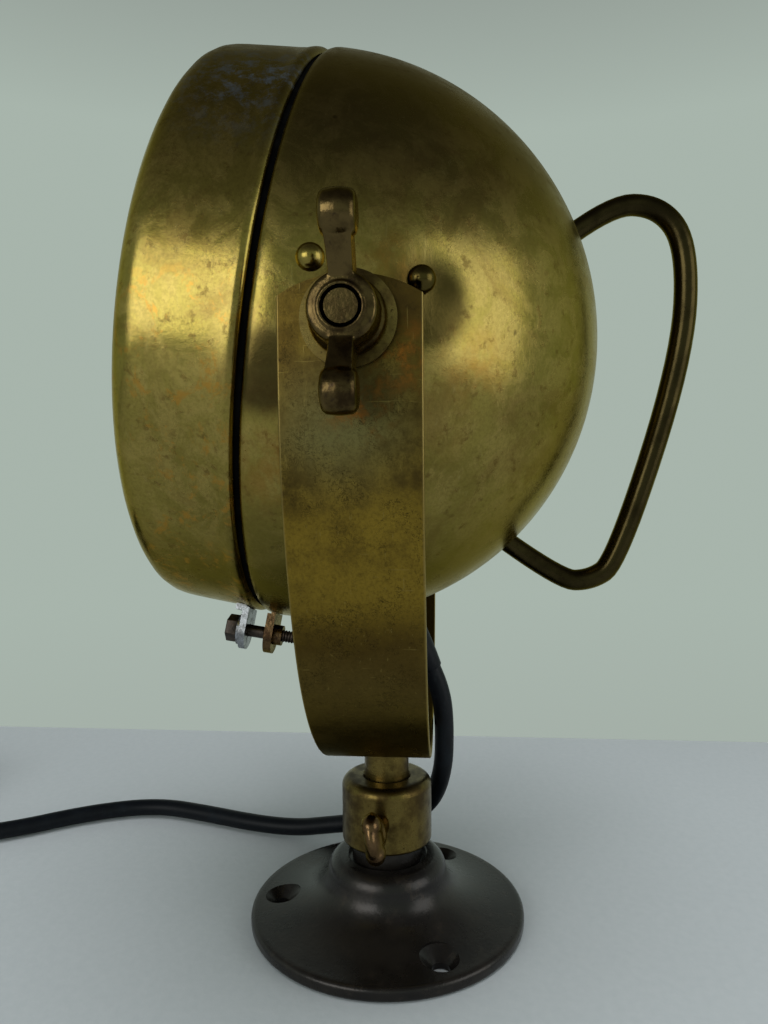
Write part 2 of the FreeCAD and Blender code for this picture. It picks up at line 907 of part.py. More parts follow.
def make_bulb_cap():
    cap = lathe(
        (0, cap_back),
        (cap_radius, cap_back),
        (cap_radius, cap_front),
        (bulb_neck_radius + seat_gap, cap_front),
        (bulb_neck_radius + seat_gap, cap_front - cap_socket),
        (0, cap_front - cap_socket),
    )
    return cap


def make_bulb():
    centre = filament_height + 1.0
    inner_neck = bulb_neck_radius - bulb_wall
    inner = bulb_radius - bulb_wall
    foot = cap_front - cap_socket + seat_gap
    join = centre - math.sqrt(bulb_radius ** 2 - bulb_neck_radius ** 2)
    inner_join = centre - math.sqrt(inner ** 2 - inner_neck ** 2)
    return lathe(
        (inner_neck, foot),
        (bulb_neck_radius, foot),
        (bulb_neck_radius, join),
        ((bulb_radius, centre), (0, centre + bulb_radius)),
        (0, centre + inner),
        ((inner, centre), (inner_neck, inner_join)),
    )


def make_filament():
    """Two support wires from the cap and the coiled bar between them."""
    foot = cap_front - cap_socket
    height = filament_height - foot
    bar = rod(0.6, V(-contact_x - 0.5, 0, filament_height), V(contact_x + 0.5, 0, filament_height))
    posts = [Part.makeCylinder(0.4, height, V(side * contact_x, 0, foot)) for side in (-1, 1)]
    return bar.fuse(posts).removeSplitter()


def make_leads():
    """Two insulated wires from the holder's contacts down to the gland."""
    leads = []
    inner_end = gland_seat - gland_axis * (gland_thread_length + seat_gap)
    for side in (-1, 1):
        shift = V(1.5 * lead_radius * side, 0, 0)
        points = [
            V(side * contact_x, 0, holder_back + holder_wall + insulator_setback / 2 - seat_gap),
            V(side * contact_x, 0, holder_back - lead_drop) + V(0, -seat_gap, 0),
            V(side * contact_x, 0, holder_back - lead_drop) + V(-lead_drop / 3, -2 * lead_drop, -lead_drop),
            inner_end - gland_axis * (2 * lead_drop) + shift,
            inner_end + shift,
        ]
        tube, length = bent_tube("lead", points, lead_radius)
        leads.append(tube)
    return leads


def make_gland():
    """Brass outlet: flange fitted to the shell, turned body and a thread through the shell."""
    body = lathe(
        (0, -gland_flange_height),
        (gland_flange_radius, -gland_flange_height),
        (gland_flange_radius, gland_flange_height),
        (gland_body_radius, gland_flange_height),
        (gland_body_radius, gland_length - 2),
        (gland_mouth_radius, gland_length),
        (0, gland_length),
    )
    outside = stand_on(body, gland_seat, gland_axis).cut(ball(shell_radius))
    thread_end = gland_seat + gland_axis * gland_flange_height
    thread = rod(gland_thread_radius, gland_seat - gland_axis * gland_thread_length, thread_end)
    return outside.fuse(thread).removeSplitter()


def make_boot():
    """Tapered rubber sleeve round the cord below its outlet, which keeps it from kinking."""
    bore = cord_radius + rubber_gap
    sleeve = lathe(
        (bore, 0),
        (cord_radius + boot_wall, 0),
        (cord_radius + boot_wall, gland_taper),
        (cord_radius + boot_tip_wall, boot_length),
        (bore, boot_length),
    )
    return stand_on(sleeve, gland_seat + gland_axis * gland_length, gland_axis)


def make_gland_nut():
    """Ring nut inside the shell, its face hollowed to the shell's curve."""
    foot = -gland_thread_length
    ring = Part.makeCylinder(gland_nut_radius, 2 * gland_thread_length, V(0, 0, foot))
    bore = gland_thread_radius + running_fit
    ring = ring.cut(Part.makeCylinder(bore, 4 * gland_thread_length, V(0, 0, 2 * foot)))
    return stand_on(ring, gland_seat, gland_axis).common(ball(shell_inner - seat_gap))


def make_handle_nuts():
    """Hexagon nuts inside the shell on the handle's threaded ends."""
    nuts = []
    path = handle_path()
    for end, neighbour in ((path[0], path[1]), (path[-1], path[-2])):
        inward = (end - neighbour).normalize()
        offset = neighbour - ball_centre
        along = -offset.dot(inward)
        aside = offset.Length ** 2 - along ** 2
        entry = neighbour + inward * (along - math.sqrt(shell_inner ** 2 - aside))
        start = entry - inward * handle_nut_height
        nut = stand_on(hexagon(handle_nut_across, 2 * handle_nut_height + handle_rod_radius), start, inward)
        bore = rod(handle_rod_radius + running_fit, start - inward, start + inward * shell_radius)
        nuts.append(nut.cut(bore).common(ball(shell_inner - seat_gap)))
    return nuts


def pivot_point(across):
    return V(across, -pivot_drop, -pivot_back)


def make_plate(side):
    """Saddle plate inside the shell that spreads the pivot's load."""
    size = 2 * plate_half
    corner = V(0 if side > 0 else -shell_radius, -pivot_drop - plate_half, -pivot_back - plate_half)
    block = Part.makeBox(shell_radius, size, size, corner)
    layer = ball(shell_inner - seat_gap).cut(ball(shell_inner - seat_gap - plate_thickness))
    plate = layer.common(block)
    plate = plate.cut(rod(stud_radius + loose_fit, pivot_point(0), pivot_point(side * shell_radius)))
    for up, forward in rivet_places:
        seat = shell_point(side, up, forward)
        normal = (seat - ball_centre).normalize()
        plate = plate.cut(rod(rivet_radius + running_fit, seat - normal * 8, seat + normal * 2))
    return plate


def make_rivets(side):
    """Domed rivets, each square to the shell's surface."""
    curve = (rivet_head_radius ** 2 + rivet_head_height ** 2) / (2 * rivet_head_height)
    tail = shell_wall + plate_thickness + 1.2
    rivets = []
    for up, forward in rivet_places:
        seat = shell_point(side, up, forward)
        normal = (seat - ball_centre).normalize()
        dome = Part.makeSphere(curve, seat + normal * (rivet_head_height - curve)).cut(ball(shell_radius))
        shank = rod(rivet_radius, seat - normal * tail, seat + normal * (rivet_head_height / 2))
        rivets.append(dome.fuse(shank).removeSplitter())
    return rivets


washer_start = arm_reach + running_fit
nut_start = washer_start + pivot_washer_height + running_fit
nut_face = nut_start + nut_height


def make_stud(side):
    """Pivot stud: round head inside the plate, shank out through spacer, arm, washer and nut."""
    inner = shell_inner - seat_gap - plate_thickness - seat_gap
    head = rod(stud_head_radius, pivot_point(side * (inner - stud_head_height)), pivot_point(side * inner))
    head = head.common(ball(inner))
    shank_start = inner - stud_head_height + stud_radius
    shank = rod(stud_radius, pivot_point(side * shank_start), pivot_point(side * (nut_face - 2 * loose_fit)))
    return head.fuse(shank).removeSplitter()


def make_spacer(side):
    """Distance piece between the shell and the arm, hollowed to sit on the shell."""
    start = abs(shell_point(side, -pivot_drop, -pivot_back).x) - spacer_sink
    body = rod(spacer_radius, pivot_point(side * start), pivot_point(side * (arm_inner - seat_gap)))
    bore = rod(stud_radius + loose_fit, pivot_point(0), pivot_point(side * arm_reach))
    return body.cut(ball(shell_radius)).cut(bore)


def make_pivot_washer(side):
    start = pivot_point(side * washer_start)
    end = pivot_point(side * (washer_start + pivot_washer_height))
    bore = rod(stud_radius + loose_fit, pivot_point(0), pivot_point(side * nut_face))
    return rod(pivot_washer_radius, start, end).cut(bore)


def make_wing_nut(side):
    """Wing nut with two flared ears above and below, in the row's own frame at the pivot."""
    bore = stud_radius + running_fit
    barrel = lathe(
        (bore, 0),
        (nut_base_radius, 0),
        (nut_base_radius, nut_height * 0.13),
        (nut_radius, nut_height * 0.33),
        (nut_radius, nut_height - 1.3),
        (nut_radius - 0.8, nut_height - 0.5),
        (nut_lip_radius, nut_height - 0.5),
        (nut_lip_radius, nut_height),
        (nut_sink_radius, nut_height),
        (nut_sink_radius, nut_height - nut_sink_depth),
        (bore, nut_height - nut_sink_depth),
    )
    lobe = ear_tip - ear_lobe_radius
    lift = nut_height + ear_lift
    solids = []
    for way in (-1, 1):
        neck = slab(
            (way * (nut_radius - 1.6), 1.6),
            [
                (way * (lobe + 0.9 * ear_lobe_radius), lift - 0.4 * ear_lobe_radius),
                (way * (lobe - 0.5 * ear_lobe_radius), lift + 0.8 * ear_lobe_radius),
                (way * (nut_radius - 1.6), nut_height - 1.6),
            ],
            ear_thickness - 0.8,
        )
        pad_centre = V(way * lobe, 0, lift)
        pad_half = V(0, ear_thickness / 2, 0)
        pad = rod(ear_lobe_radius, pad_centre - pad_half, pad_centre + pad_half)
        solids.extend([neck, pad])
    nut = barrel.fuse(solids).removeSplitter()
    if side > 0:
        turn = FreeCAD.Rotation(V(0, 1, 0), 90)
    else:
        turn = FreeCAD.Rotation(V(0, 1, 0), -90)
    nut.Placement = FreeCAD.Placement(V(side * nut_start, 0, pivot_height), turn)
    return nut


clamp_angle = math.radians(clamp_turn)
clamp_outward = V(math.sin(clamp_angle), -math.cos(clamp_angle), 0)
rim_tab_back = rim_gap + rim_tab_setback
rim_tab_front = rim_tab_back + rim_tab_thickness
washer_front = rim_tab_front + seat_gap + clamp_washer_height
head_back = washer_front + seat_gap
shell_tab_front = -shell_tab_setback
shell_tab_back = shell_tab_front - shell_tab_thickness


def turned(shape):
    """Turns a clamp piece from the lowest point to the clamp's own angle round the head's axis."""
    placed = shape.copy()
    placed.rotate(V(0, 0, 0), V(0, 0, 1), clamp_turn)
    return placed


def tab_plate(inner, back, front, hole):
    """Plate standing out from the head's lowest line, with a round end about the screw."""
    half = tab_width / 2
    height = front - back
    leg = Part.makeBox(tab_width, clamp_radius - inner, height, V(-half, -clamp_radius, back))
    end = Part.makeCylinder(half, height, V(0, -clamp_radius, back))
    bore = Part.makeCylinder(hole, height + 2, V(0, -clamp_radius, back - 1))
    return leg.fuse(end).removeSplitter().cut(bore)


def make_rim_tab():
    """Plated bracket: a foot on the rim's wall and a plate for the screw."""
    inner = rim_radius - rim_taper - 2
    plate = tab_plate(inner, rim_tab_back, rim_tab_front, clamp_screw_radius + loose_fit)
    foot = Part.makeBox(
        tab_width,
        tab_foot_thickness + rim_bead + rim_wall,
        tab_foot_length,
        V(-tab_width / 2, -rim_radius - rim_bead - tab_foot_thickness, rim_tab_front - rim_tab_thickness / 4),
    )
    bracket = plate.fuse(foot).removeSplitter()
    solid_rim = lathe(
        (0, rim_gap - 1),
        (rim_radius + rim_bead + seat_gap, rim_gap - 1),
        (rim_radius + rim_bead + seat_gap, rim_gap + rim_bead_width),
        (rim_radius + seat_gap, rim_gap + rim_bead_width + 1),
        (rim_radius + seat_gap, rim_gap + rim_bead_width + rim_straight),
        (0, rim_gap + rim_bead_width + rim_straight),
    )
    return turned(bracket.cut(solid_rim))


def make_shell_tab():
    """Brass lug soldered to the shell, with a threaded boss behind it."""
    plate = tab_plate(shell_radius - 3, shell_tab_back, shell_tab_front, clamp_screw_radius + running_fit)
    boss = Part.makeCone(
        tab_boss_radius - running_fit,
        tab_boss_radius,
        tab_boss_height,
        V(0, -clamp_radius, shell_tab_back - tab_boss_height),
    )
    bore = Part.makeCylinder(
        clamp_screw_radius + running_fit,
        4 * tab_boss_height,
        V(0, -clamp_radius, shell_tab_back - 2 * tab_boss_height),
    )
    lug = plate.fuse(boss).cut(bore).removeSplitter()
    body = ball(shell_radius + seat_gap).fuse(
        Part.makeCylinder(shell_radius + shell_bead + seat_gap, shell_mouth + 1, V(0, 0, -shell_mouth))
    )
    return turned(lug.cut(body))


def make_clamp_screw():
    head = hexagon(clamp_head_across, clamp_head_height)
    head.translate(V(0, -clamp_radius, head_back))
    shank = Part.makeCylinder(
        clamp_screw_radius, clamp_screw_length, V(0, -clamp_radius, head_back + 1 - clamp_screw_length)
    )
    return turned(head.fuse(shank).removeSplitter())


def make_clamp_washer():
    disc = Part.makeCylinder(
        clamp_washer_radius, clamp_washer_height, V(0, -clamp_radius, rim_tab_front + seat_gap)
    )
    bore = Part.makeCylinder(clamp_screw_radius + loose_fit, 8, V(0, -clamp_radius, rim_tab_back))
    return turned(disc.cut(bore))


def make_rim_hook():
    """Tongue at the top, inside the rim, that hooks over the seat ring's front edge."""
    outer = seat_ring_radius + 0.8
    return slab(
        (-outer, seat_ring_reach - 2.2),
        [
            (-outer, seat_ring_reach + 1.4),
            (-seat_ring_radius + 3, seat_ring_reach + 1.4),
            (-seat_ring_radius + 3, seat_ring_reach + seat_gap),
            (-seat_ring_radius - 0.15, seat_ring_reach + seat_gap),
            (-seat_ring_radius - 0.15, seat_ring_reach - 2.2),
        ],
        10,
    )


def biarc(start, start_way, end, end_way):
    """Two tangent arcs between two points with given headings."""
    span = end - start
    both = start_way + end_way
    spread = 2 * (1 - start_way.dot(end_way))
    across = span.dot(both)
    if spread < 1e-9:
        reach = span.dot(span) / (2 * across)
    else:
        reach = (-across + math.sqrt(across ** 2 + spread * span.dot(span))) / spread
    first = start + start_way * reach
    second = end - end_way * reach
    joint = (first + second) * 0.5
    return [
        Part.Arc(start, arc_middle(start, first, joint), joint).toShape(),
        Part.Arc(joint, arc_middle(joint, second, end), end).toShape(),
    ]


entry_way = V(coil_entry[0] - run_route[-1][0], coil_entry[1] - run_route[-1][1], 0).normalize()
coil_low = coil_lift + cord_radius
coil_high = coil_low + coil_pitch
coil_start = V(coil_entry[0], coil_entry[1], coil_low)
coil_outward = V(-entry_way.y, entry_way.x, 0)
coil_centre = coil_start + entry_way * cord_diameter - coil_outward * coil_outer
coil_start_angle = math.atan2(coil_outward.y, coil_outward.x)


def coil_knot(turned_by):
    """Point and heading of the coil after an angle: in, round the climb, and out one layer up."""
    inward = 2 * math.pi * coil_turns_in
    inner = coil_outer - coil_pitch * coil_turns_in
    rate = coil_pitch / (2 * math.pi)
    if turned_by < inward:
        radius = coil_outer - rate * turned_by
        change = -rate
        height = coil_low
        climb = 0.0
    elif turned_by < inward + math.pi:
        part = turned_by - inward
        share = part / math.pi
        radius = inner - coil_dip * math.sin(part)
        change = -coil_dip * math.cos(part)
        height = coil_low + coil_pitch * share ** 2 * (3 - 2 * share)
        climb = coil_pitch * 6 * share * (1 - share) / math.pi
    else:
        radius = inner + rate * (turned_by - inward - math.pi)
        change = rate
        height = coil_high
        climb = 0.0
    angle = coil_start_angle - turned_by
    out = V(math.cos(angle), math.sin(angle), 0)
    along = V(math.sin(angle), -math.cos(angle), 0)
    centre = V(coil_centre.x, coil_centre.y, 0)
    point = centre + out * radius + V(0, 0, height)
    way = out * change + along * radius + V(0, 0, climb)
    return point, way.normalize()


def make_coil():
    """Cord wound in two layers: in along the table, up where it turns back, out, then to the plug."""
    quarters = 4 * coil_turns_in + 2 + coil_quarters_out
    knots = [coil_knot(k * math.pi / 2) for k in range(quarters + 1)]
    first_point = knots[0][0]
    start = first_point - entry_way * cord_diameter
    knots[0] = (first_point, entry_way)
    edges = [Part.LineSegment(start, first_point).toShape()]
    for k in range(quarters):
        edges.extend(biarc(knots[k][0], knots[k][1], knots[k + 1][0], knots[k + 1][1]))
    last_point, last_way = knots[-1]
    level_way = V(last_way.x, last_way.y, 0).normalize()
    rise = plug_radius + table_clear - coil_high
    tail_end = last_point + level_way * tail_length + V(0, 0, rise)
    edges.extend(biarc(last_point, last_way, tail_end, level_way))
    plug_point = tail_end + level_way * cord_diameter
    edges.append(Part.LineSegment(tail_end, plug_point).toShape())
    coil, length = sweep(edges, cord_radius)
    least = coil_gap(edges)
    fill = coil.Volume / (math.pi * cord_radius ** 2 * length)
    print("coil length", round(length, 1), "least gap", round(least, 2), "fill", round(fill, 4))
    return coil, length, plug_point, level_way


def coil_gap(edges):
    """Least gap between the coil's turns, on points a few millimetres apart."""
    points = []
    travelled = 0.0
    for edge in edges:
        count = max(2, int(edge.Length / 3))
        first, last = edge.ParameterRange
        for k in range(count):
            share = k / count
            points.append((travelled + edge.Length * share, edge.valueAt(first + (last - first) * share)))
        travelled += edge.Length
    least = 1e9
    apart = 6 * cord_diameter
    for k, (place, point) in enumerate(points):
        for other_place, other in points[k + 1:]:
            if other_place - place > apart:
                least = min(least, (other - point).Length)
    return least - cord_diameter


def make_tie():
    """Flat strap round the coil's turns."""
    centre = V(coil_centre.x, coil_centre.y, 0)
    turned_by = (coil_start_angle - math.radians(tie_angle)) % (2 * math.pi)
    radii = []
    while turned_by < 2 * math.pi * (coil_turns_in + 0.5 + coil_quarters_out / 4):
        point, way = coil_knot(turned_by)
        radii.append(V(point.x, point.y, 0).distanceToPoint(centre))
        turned_by += 2 * math.pi
    inner = math.sqrt((min(radii) - cord_radius) ** 2 - (tie_width / 2) ** 2) - rubber_gap
    outer = max(radii) + cord_radius + rubber_gap
    low = coil_lift - rubber_gap
    high = coil_high + cord_radius + rubber_gap
    window = Part.makeBox(outer - inner, tie_width + 2, high - low, V(inner, -tie_width / 2 - 1, low))
    band = Part.makeBox(
        outer - inner + 2 * tie_thickness,
        tie_width,
        high - low + 2 * tie_thickness,
        V(inner - tie_thickness, -tie_width / 2, low - tie_thickness),
    )
    band = band.cut(window)
    band.rotate(V(0, 0, 0), V(0, 0, 1), tie_angle)
    band.translate(centre)
    return band


def make_plug(point, way):
    """Round two-pin plug with a tapered sleeve, lying on the table; gives body, pins and screw."""
    body_end = plug_neck_length + plug_length
    body = lathe(
        (0, 0),
        (plug_entry_radius, 0),
        (plug_neck_radius, plug_neck_length - 3),
        ((plug_neck_radius + 1.5, plug_neck_length - 0.8), (plug_radius, plug_neck_length + 6)),
        (plug_radius, body_end - 1.5),
        (plug_radius - 1.5, body_end),
        (0, body_end),
    )
    pins = []
    for side in (-1, 1):
        foot = V(0, side * plug_pin_spacing / 2, body_end + seat_gap)
        pins.append(Part.makeCylinder(plug_pin_radius, plug_pin_length, foot))
    screw = Part.makeSphere(4, V(0, 0, body_end - 2.6)).cut(
        Part.makeBox(20, 20, 20, V(-10, -10, body_end + seat_gap - 20))
    )
    return (
        stand_on(body, point, way),
        [stand_on(pin, point, way) for pin in pins],
        stand_on(screw, point, way),
    )


save("base_flange", make_foot())
save("collar", make_collar())
save("thumb_screw", make_thumb_screw())
strap_solid = make_strap()
save("yoke_strap", strap_solid)
save("swivel_post", make_post(strap_solid))
save("post_washer", make_post_washer(strap_solid))
save("post_nut", make_post_nut())

save("body_shell", on_head(make_shell()))
save("seat_ring", on_head(make_seat_ring()))
save("rim_gasket", on_head(make_rim_gasket()))
save("front_rim", on_head(make_rim()))
save("rim_hook", on_head(make_rim_hook().rotate(V(0, 0, 0), V(0, 0, 1), -90)))
save("lens_glass", on_head(make_lens()))
save("lens_gasket", on_head(make_lens_gasket()))
save("reflector", on_head(make_reflector()))
save("glass_clips", *[on_head(clip) for clip in make_clips()])
save("lamp_holder", on_head(make_holder()))
save("holder_insulator", on_head(make_insulator()))
save("holder_contacts", *[on_head(pin) for pin in make_contacts()])
save("bulb_cap", on_head(make_bulb_cap()))
save("bulb_glass", on_head(make_bulb()))
save("bulb_filament", on_head(make_filament()))
save("inner_leads", *[on_head(lead) for lead in make_leads()])
save("cable_gland", on_head(make_gland()))
save("gland_nut", on_head(make_gland_nut()))
save("cord_boot", on_head(make_boot()))
handle_edges, handle_radii = rounded_path(handle_path())
handle_solid, handle_length = sweep(handle_edges, handle_rod_radius)
save("handle", on_head(handle_solid))
save("handle_nuts", *[on_head(nut) for nut in make_handle_nuts()])
save("rim_tab", on_head(make_rim_tab()))
save("shell_tab", on_head(make_shell_tab()))
save("clamp_screw", on_head(make_clamp_screw()))
save("clamp_washer", on_head(make_clamp_washer()))

for side_name, side_sign in (("near", 1), ("far", -1)):
    save("pivot_plate_" + side_name, on_head(make_plate(side_sign)))
    save("pivot_rivets_" + side_name, *[on_head(rivet) for rivet in make_rivets(side_sign)])
    save("pivot_stud_" + side_name, on_head(make_stud(side_sign)))
    save("pivot_spacer_" + side_name, on_head(make_spacer(side_sign)))
    save("pivot_washer_" + side_name, on_head(make_pivot_washer(side_sign)))
    save("wing_nut_" + side_name, make_wing_nut(side_sign))

gland_mouth = head_place.multVec(gland_seat + gland_axis * gland_length)
print("gland mouth", gland_mouth)
upper_points = [gland_mouth] + [V(*p) for p in upper_route]
upper_cord, upper_length = bent_tube("upper cord", upper_points, cord_radius)
save("cord_upper", upper_cord)
lower_cord, lower_length = bent_tube("lower cord", [V(*p) for p in lower_route], cord_radius)
save("cord_lower", lower_cord)
run_cord, run_length = bent_tube("cord run", [V(*p) for p in run_route] + [coil_start], cord_radius)
save("cord_run", run_cord)
coil_solid, coil_length, plug_place, plug_way = make_coil()
save("cord_coil", coil_solid)
save("cord_tie", make_tie())
plug_body, plug_pins, plug_screw = make_plug(plug_place, plug_way)
save("plug_body", plug_body)
save("plug_pins", *plug_pins)
save("plug_screw", plug_screw)
print("cord length", round(upper_length + lower_length + run_length + coil_length, 1))
print("plug at", plug_place, "heading", plug_way)
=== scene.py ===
import math

import bmesh
import bpy
from mathutils import Matrix, Vector
from mathutils.geometry import interpolate_bezier


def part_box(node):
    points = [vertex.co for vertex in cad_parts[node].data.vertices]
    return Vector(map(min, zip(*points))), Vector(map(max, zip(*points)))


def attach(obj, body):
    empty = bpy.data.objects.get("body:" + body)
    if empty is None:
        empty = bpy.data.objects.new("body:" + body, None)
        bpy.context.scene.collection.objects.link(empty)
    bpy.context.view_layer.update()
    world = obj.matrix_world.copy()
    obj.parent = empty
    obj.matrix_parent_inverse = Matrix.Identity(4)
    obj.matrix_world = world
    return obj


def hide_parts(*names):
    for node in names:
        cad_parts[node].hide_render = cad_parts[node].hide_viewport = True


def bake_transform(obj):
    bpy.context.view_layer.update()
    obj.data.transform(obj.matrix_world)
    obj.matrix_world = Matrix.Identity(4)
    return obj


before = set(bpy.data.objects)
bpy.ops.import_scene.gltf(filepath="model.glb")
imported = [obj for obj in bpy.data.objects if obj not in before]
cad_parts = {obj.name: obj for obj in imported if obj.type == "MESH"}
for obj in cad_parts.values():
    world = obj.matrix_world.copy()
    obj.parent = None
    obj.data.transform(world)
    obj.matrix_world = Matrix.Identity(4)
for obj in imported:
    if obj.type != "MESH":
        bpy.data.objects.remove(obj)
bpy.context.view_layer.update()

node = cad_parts

# View: the lamp is seen from its near side, a little below the middle of its body,
# with the lens to the left and the handle to the right.
camera_data = bpy.data.cameras.new("view_camera")
camera_data.sensor_fit = "VERTICAL"
camera_data.sensor_height = 36
camera_data.lens = 26.742
camera_data.clip_start = 0.01
camera = bpy.data.objects.new("view_camera", camera_data)
camera.location = (0.26145, 0.02090, 0.15377)
camera.rotation_euler = [math.radians(a) for a in (87.3169, 0.3776, 94.6303)]
bpy.context.collection.objects.link(camera)
bpy.context.scene.camera = camera
bpy.context.scene.view_settings.view_transform = "Standard"

# Rubber-sheathed lead, 1.8 m long: it leaves the gland under the body, passes behind the
# strap's foot, bends down to the table and runs off to the coil that takes its spare length.
cord_radius = 0.0035
gland_mouth = Vector((-0.0110, 0.00673, 0.10168))
behind_strap = (-0.0139, 0.0201, 0.0602)
upper_route = [
    gland_mouth,
    (-0.0121, 0.0111, 0.0930),
    (-0.0131, 0.0156, 0.0839),
    (-0.0135, 0.0185, 0.0763),
    (-0.0136, 0.0200, 0.0682),
    behind_strap,
]
lower_route = [
    behind_strap,
    (-0.0142, 0.0202, 0.0522),
    (-0.0158, 0.0190, 0.0432),
    (-0.0190, 0.0164, 0.0348),
    (-0.0236, 0.0123, 0.0277),
    (-0.0294, 0.0066, 0.0219),
    (-0.0357, -0.0003, 0.0170),
    (-0.0416, -0.0086, 0.0130),
    (-0.0465, -0.0186, 0.0099),
    (-0.0496, -0.0302, 0.0071),
    (-0.0530, -0.0430, 0.0040),
    (-0.0566, -0.0620, 0.0037),
    (-0.0640, -0.0840, 0.0037),
    (-0.0715, -0.1110, 0.0037),
    (-0.0620, -0.1390, 0.0037),
    (-0.0410, -0.1680, 0.0037),
    (-0.0270, -0.2050, 0.0046),
]
coil_entry = Vector((-0.0220, -0.2450, 0))
coil_low = 0.0046
coil_outer = 0.0480
coil_pitch = 0.0077
turns_in = 3
climb_turns = 0.5
turns_out = 2.75
climb_dip = 0.0016
points_per_turn = 16
tail_length = 0.046
tail_lift = 0.0008
plug_entry = 0.007
coil_shift = 0.007
entry_way = (coil_entry - Vector((*lower_route[-1][:2], 0))).normalized()
coil_outward = Vector((-entry_way.y, entry_way.x, 0))
coil_centre = coil_entry + entry_way * coil_shift - coil_outward * coil_outer
coil_start = math.atan2(coil_outward.y, coil_outward.x)


def coil_point(turns):
    """The cord's place after some turns: in on the table, up, and out on the second layer."""
    inner = coil_outer - coil_pitch * turns_in
    climbed = turns_in + climb_turns
    if turns < turns_in:
        radius = coil_outer - coil_pitch * turns
        height = coil_low
    elif turns < climbed:
        share = (turns - turns_in) / climb_turns
        radius = inner - climb_dip * math.sin(math.pi * share)
        height = coil_low + coil_pitch * share ** 2 * (3 - 2 * share)
    else:
        radius = inner + coil_pitch * (turns - climbed)
        height = coil_low + coil_pitch
    angle = coil_start - 2 * math.pi * turns
    return coil_centre + Vector((math.cos(angle) * radius, math.sin(angle) * radius, height))


coil_steps = int((turns_in + climb_turns + turns_out) * points_per_turn) + 1
coil_points = [coil_point(k / points_per_turn) for k in range(coil_steps)]
tail_way = Vector((-0.98863, -0.15037, 0))
tail_end = coil_points[-1] + tail_way * tail_length + Vector((0, 0, tail_lift))
plug_place = tail_end + tail_way * plug_entry
lower_route += [coil_entry + Vector((0, 0, coil_low))] + coil_points + [tail_end, plug_place]


def settled(holder):
    """An object as it stands once its curve or its modifiers are worked out."""
    return holder.evaluated_get(bpy.context.evaluated_depsgraph_get())


def nurbs_mesh(name, points, thickness):
    """Mesh of a NURBS line through its control points, as a bare line or a round rod."""
    curve = bpy.data.curves.new(name, "CURVE")
    curve.dimensions = "3D"
    curve.resolution_u = 8
    spline = curve.splines.new("NURBS")
    spline.points.add(len(points) - 1)
    for k, (point, place) in enumerate(zip(spline.points, points)):
        point.co = (*place, 1)
        point.radius = thickness[k] if thickness else 1
    spline.order_u = 3
    spline.use_endpoint_u = True
    if thickness:
        curve.bevel_depth = 1
        curve.bevel_resolution = 5
        curve.use_fill_caps = True
    holder = bpy.data.objects.new(name + "_line", curve)
    bpy.context.collection.objects.link(holder)
    made = bpy.data.meshes.new_from_object(settled(holder))
    bpy.data.objects.remove(holder)
    for face in made.polygons:
        face.use_smooth = True
    return made


class Value:
    """A node's output that can stand in a sum written in Python."""

    def __init__(self, finish, socket):
        self.finish = finish
        self.socket = socket

    def worked(self, operation, first, second):
        """A node that works out one sum of two outputs or numbers."""
        return self.finish.add("ShaderNodeMath", {"operation": operation}, {0: first, 1: second})

    def __add__(self, other):
        return self.worked("ADD", self, other)

    def __radd__(self, other):
        return self.worked("ADD", other, self)

    def __sub__(self, other):
        return self.worked("SUBTRACT", self, other)

    def __rsub__(self, other):
        return self.worked("SUBTRACT", other, self)

    def __mul__(self, other):
        return self.worked("MULTIPLY", self, other)

    def __rmul__(self, other):
        return self.worked("MULTIPLY", other, self)


def rgba(colour):
    """A colour for a socket: a node's output as it is, three numbers with full cover."""
    return colour if isinstance(colour, Value) else (*colour, 1)


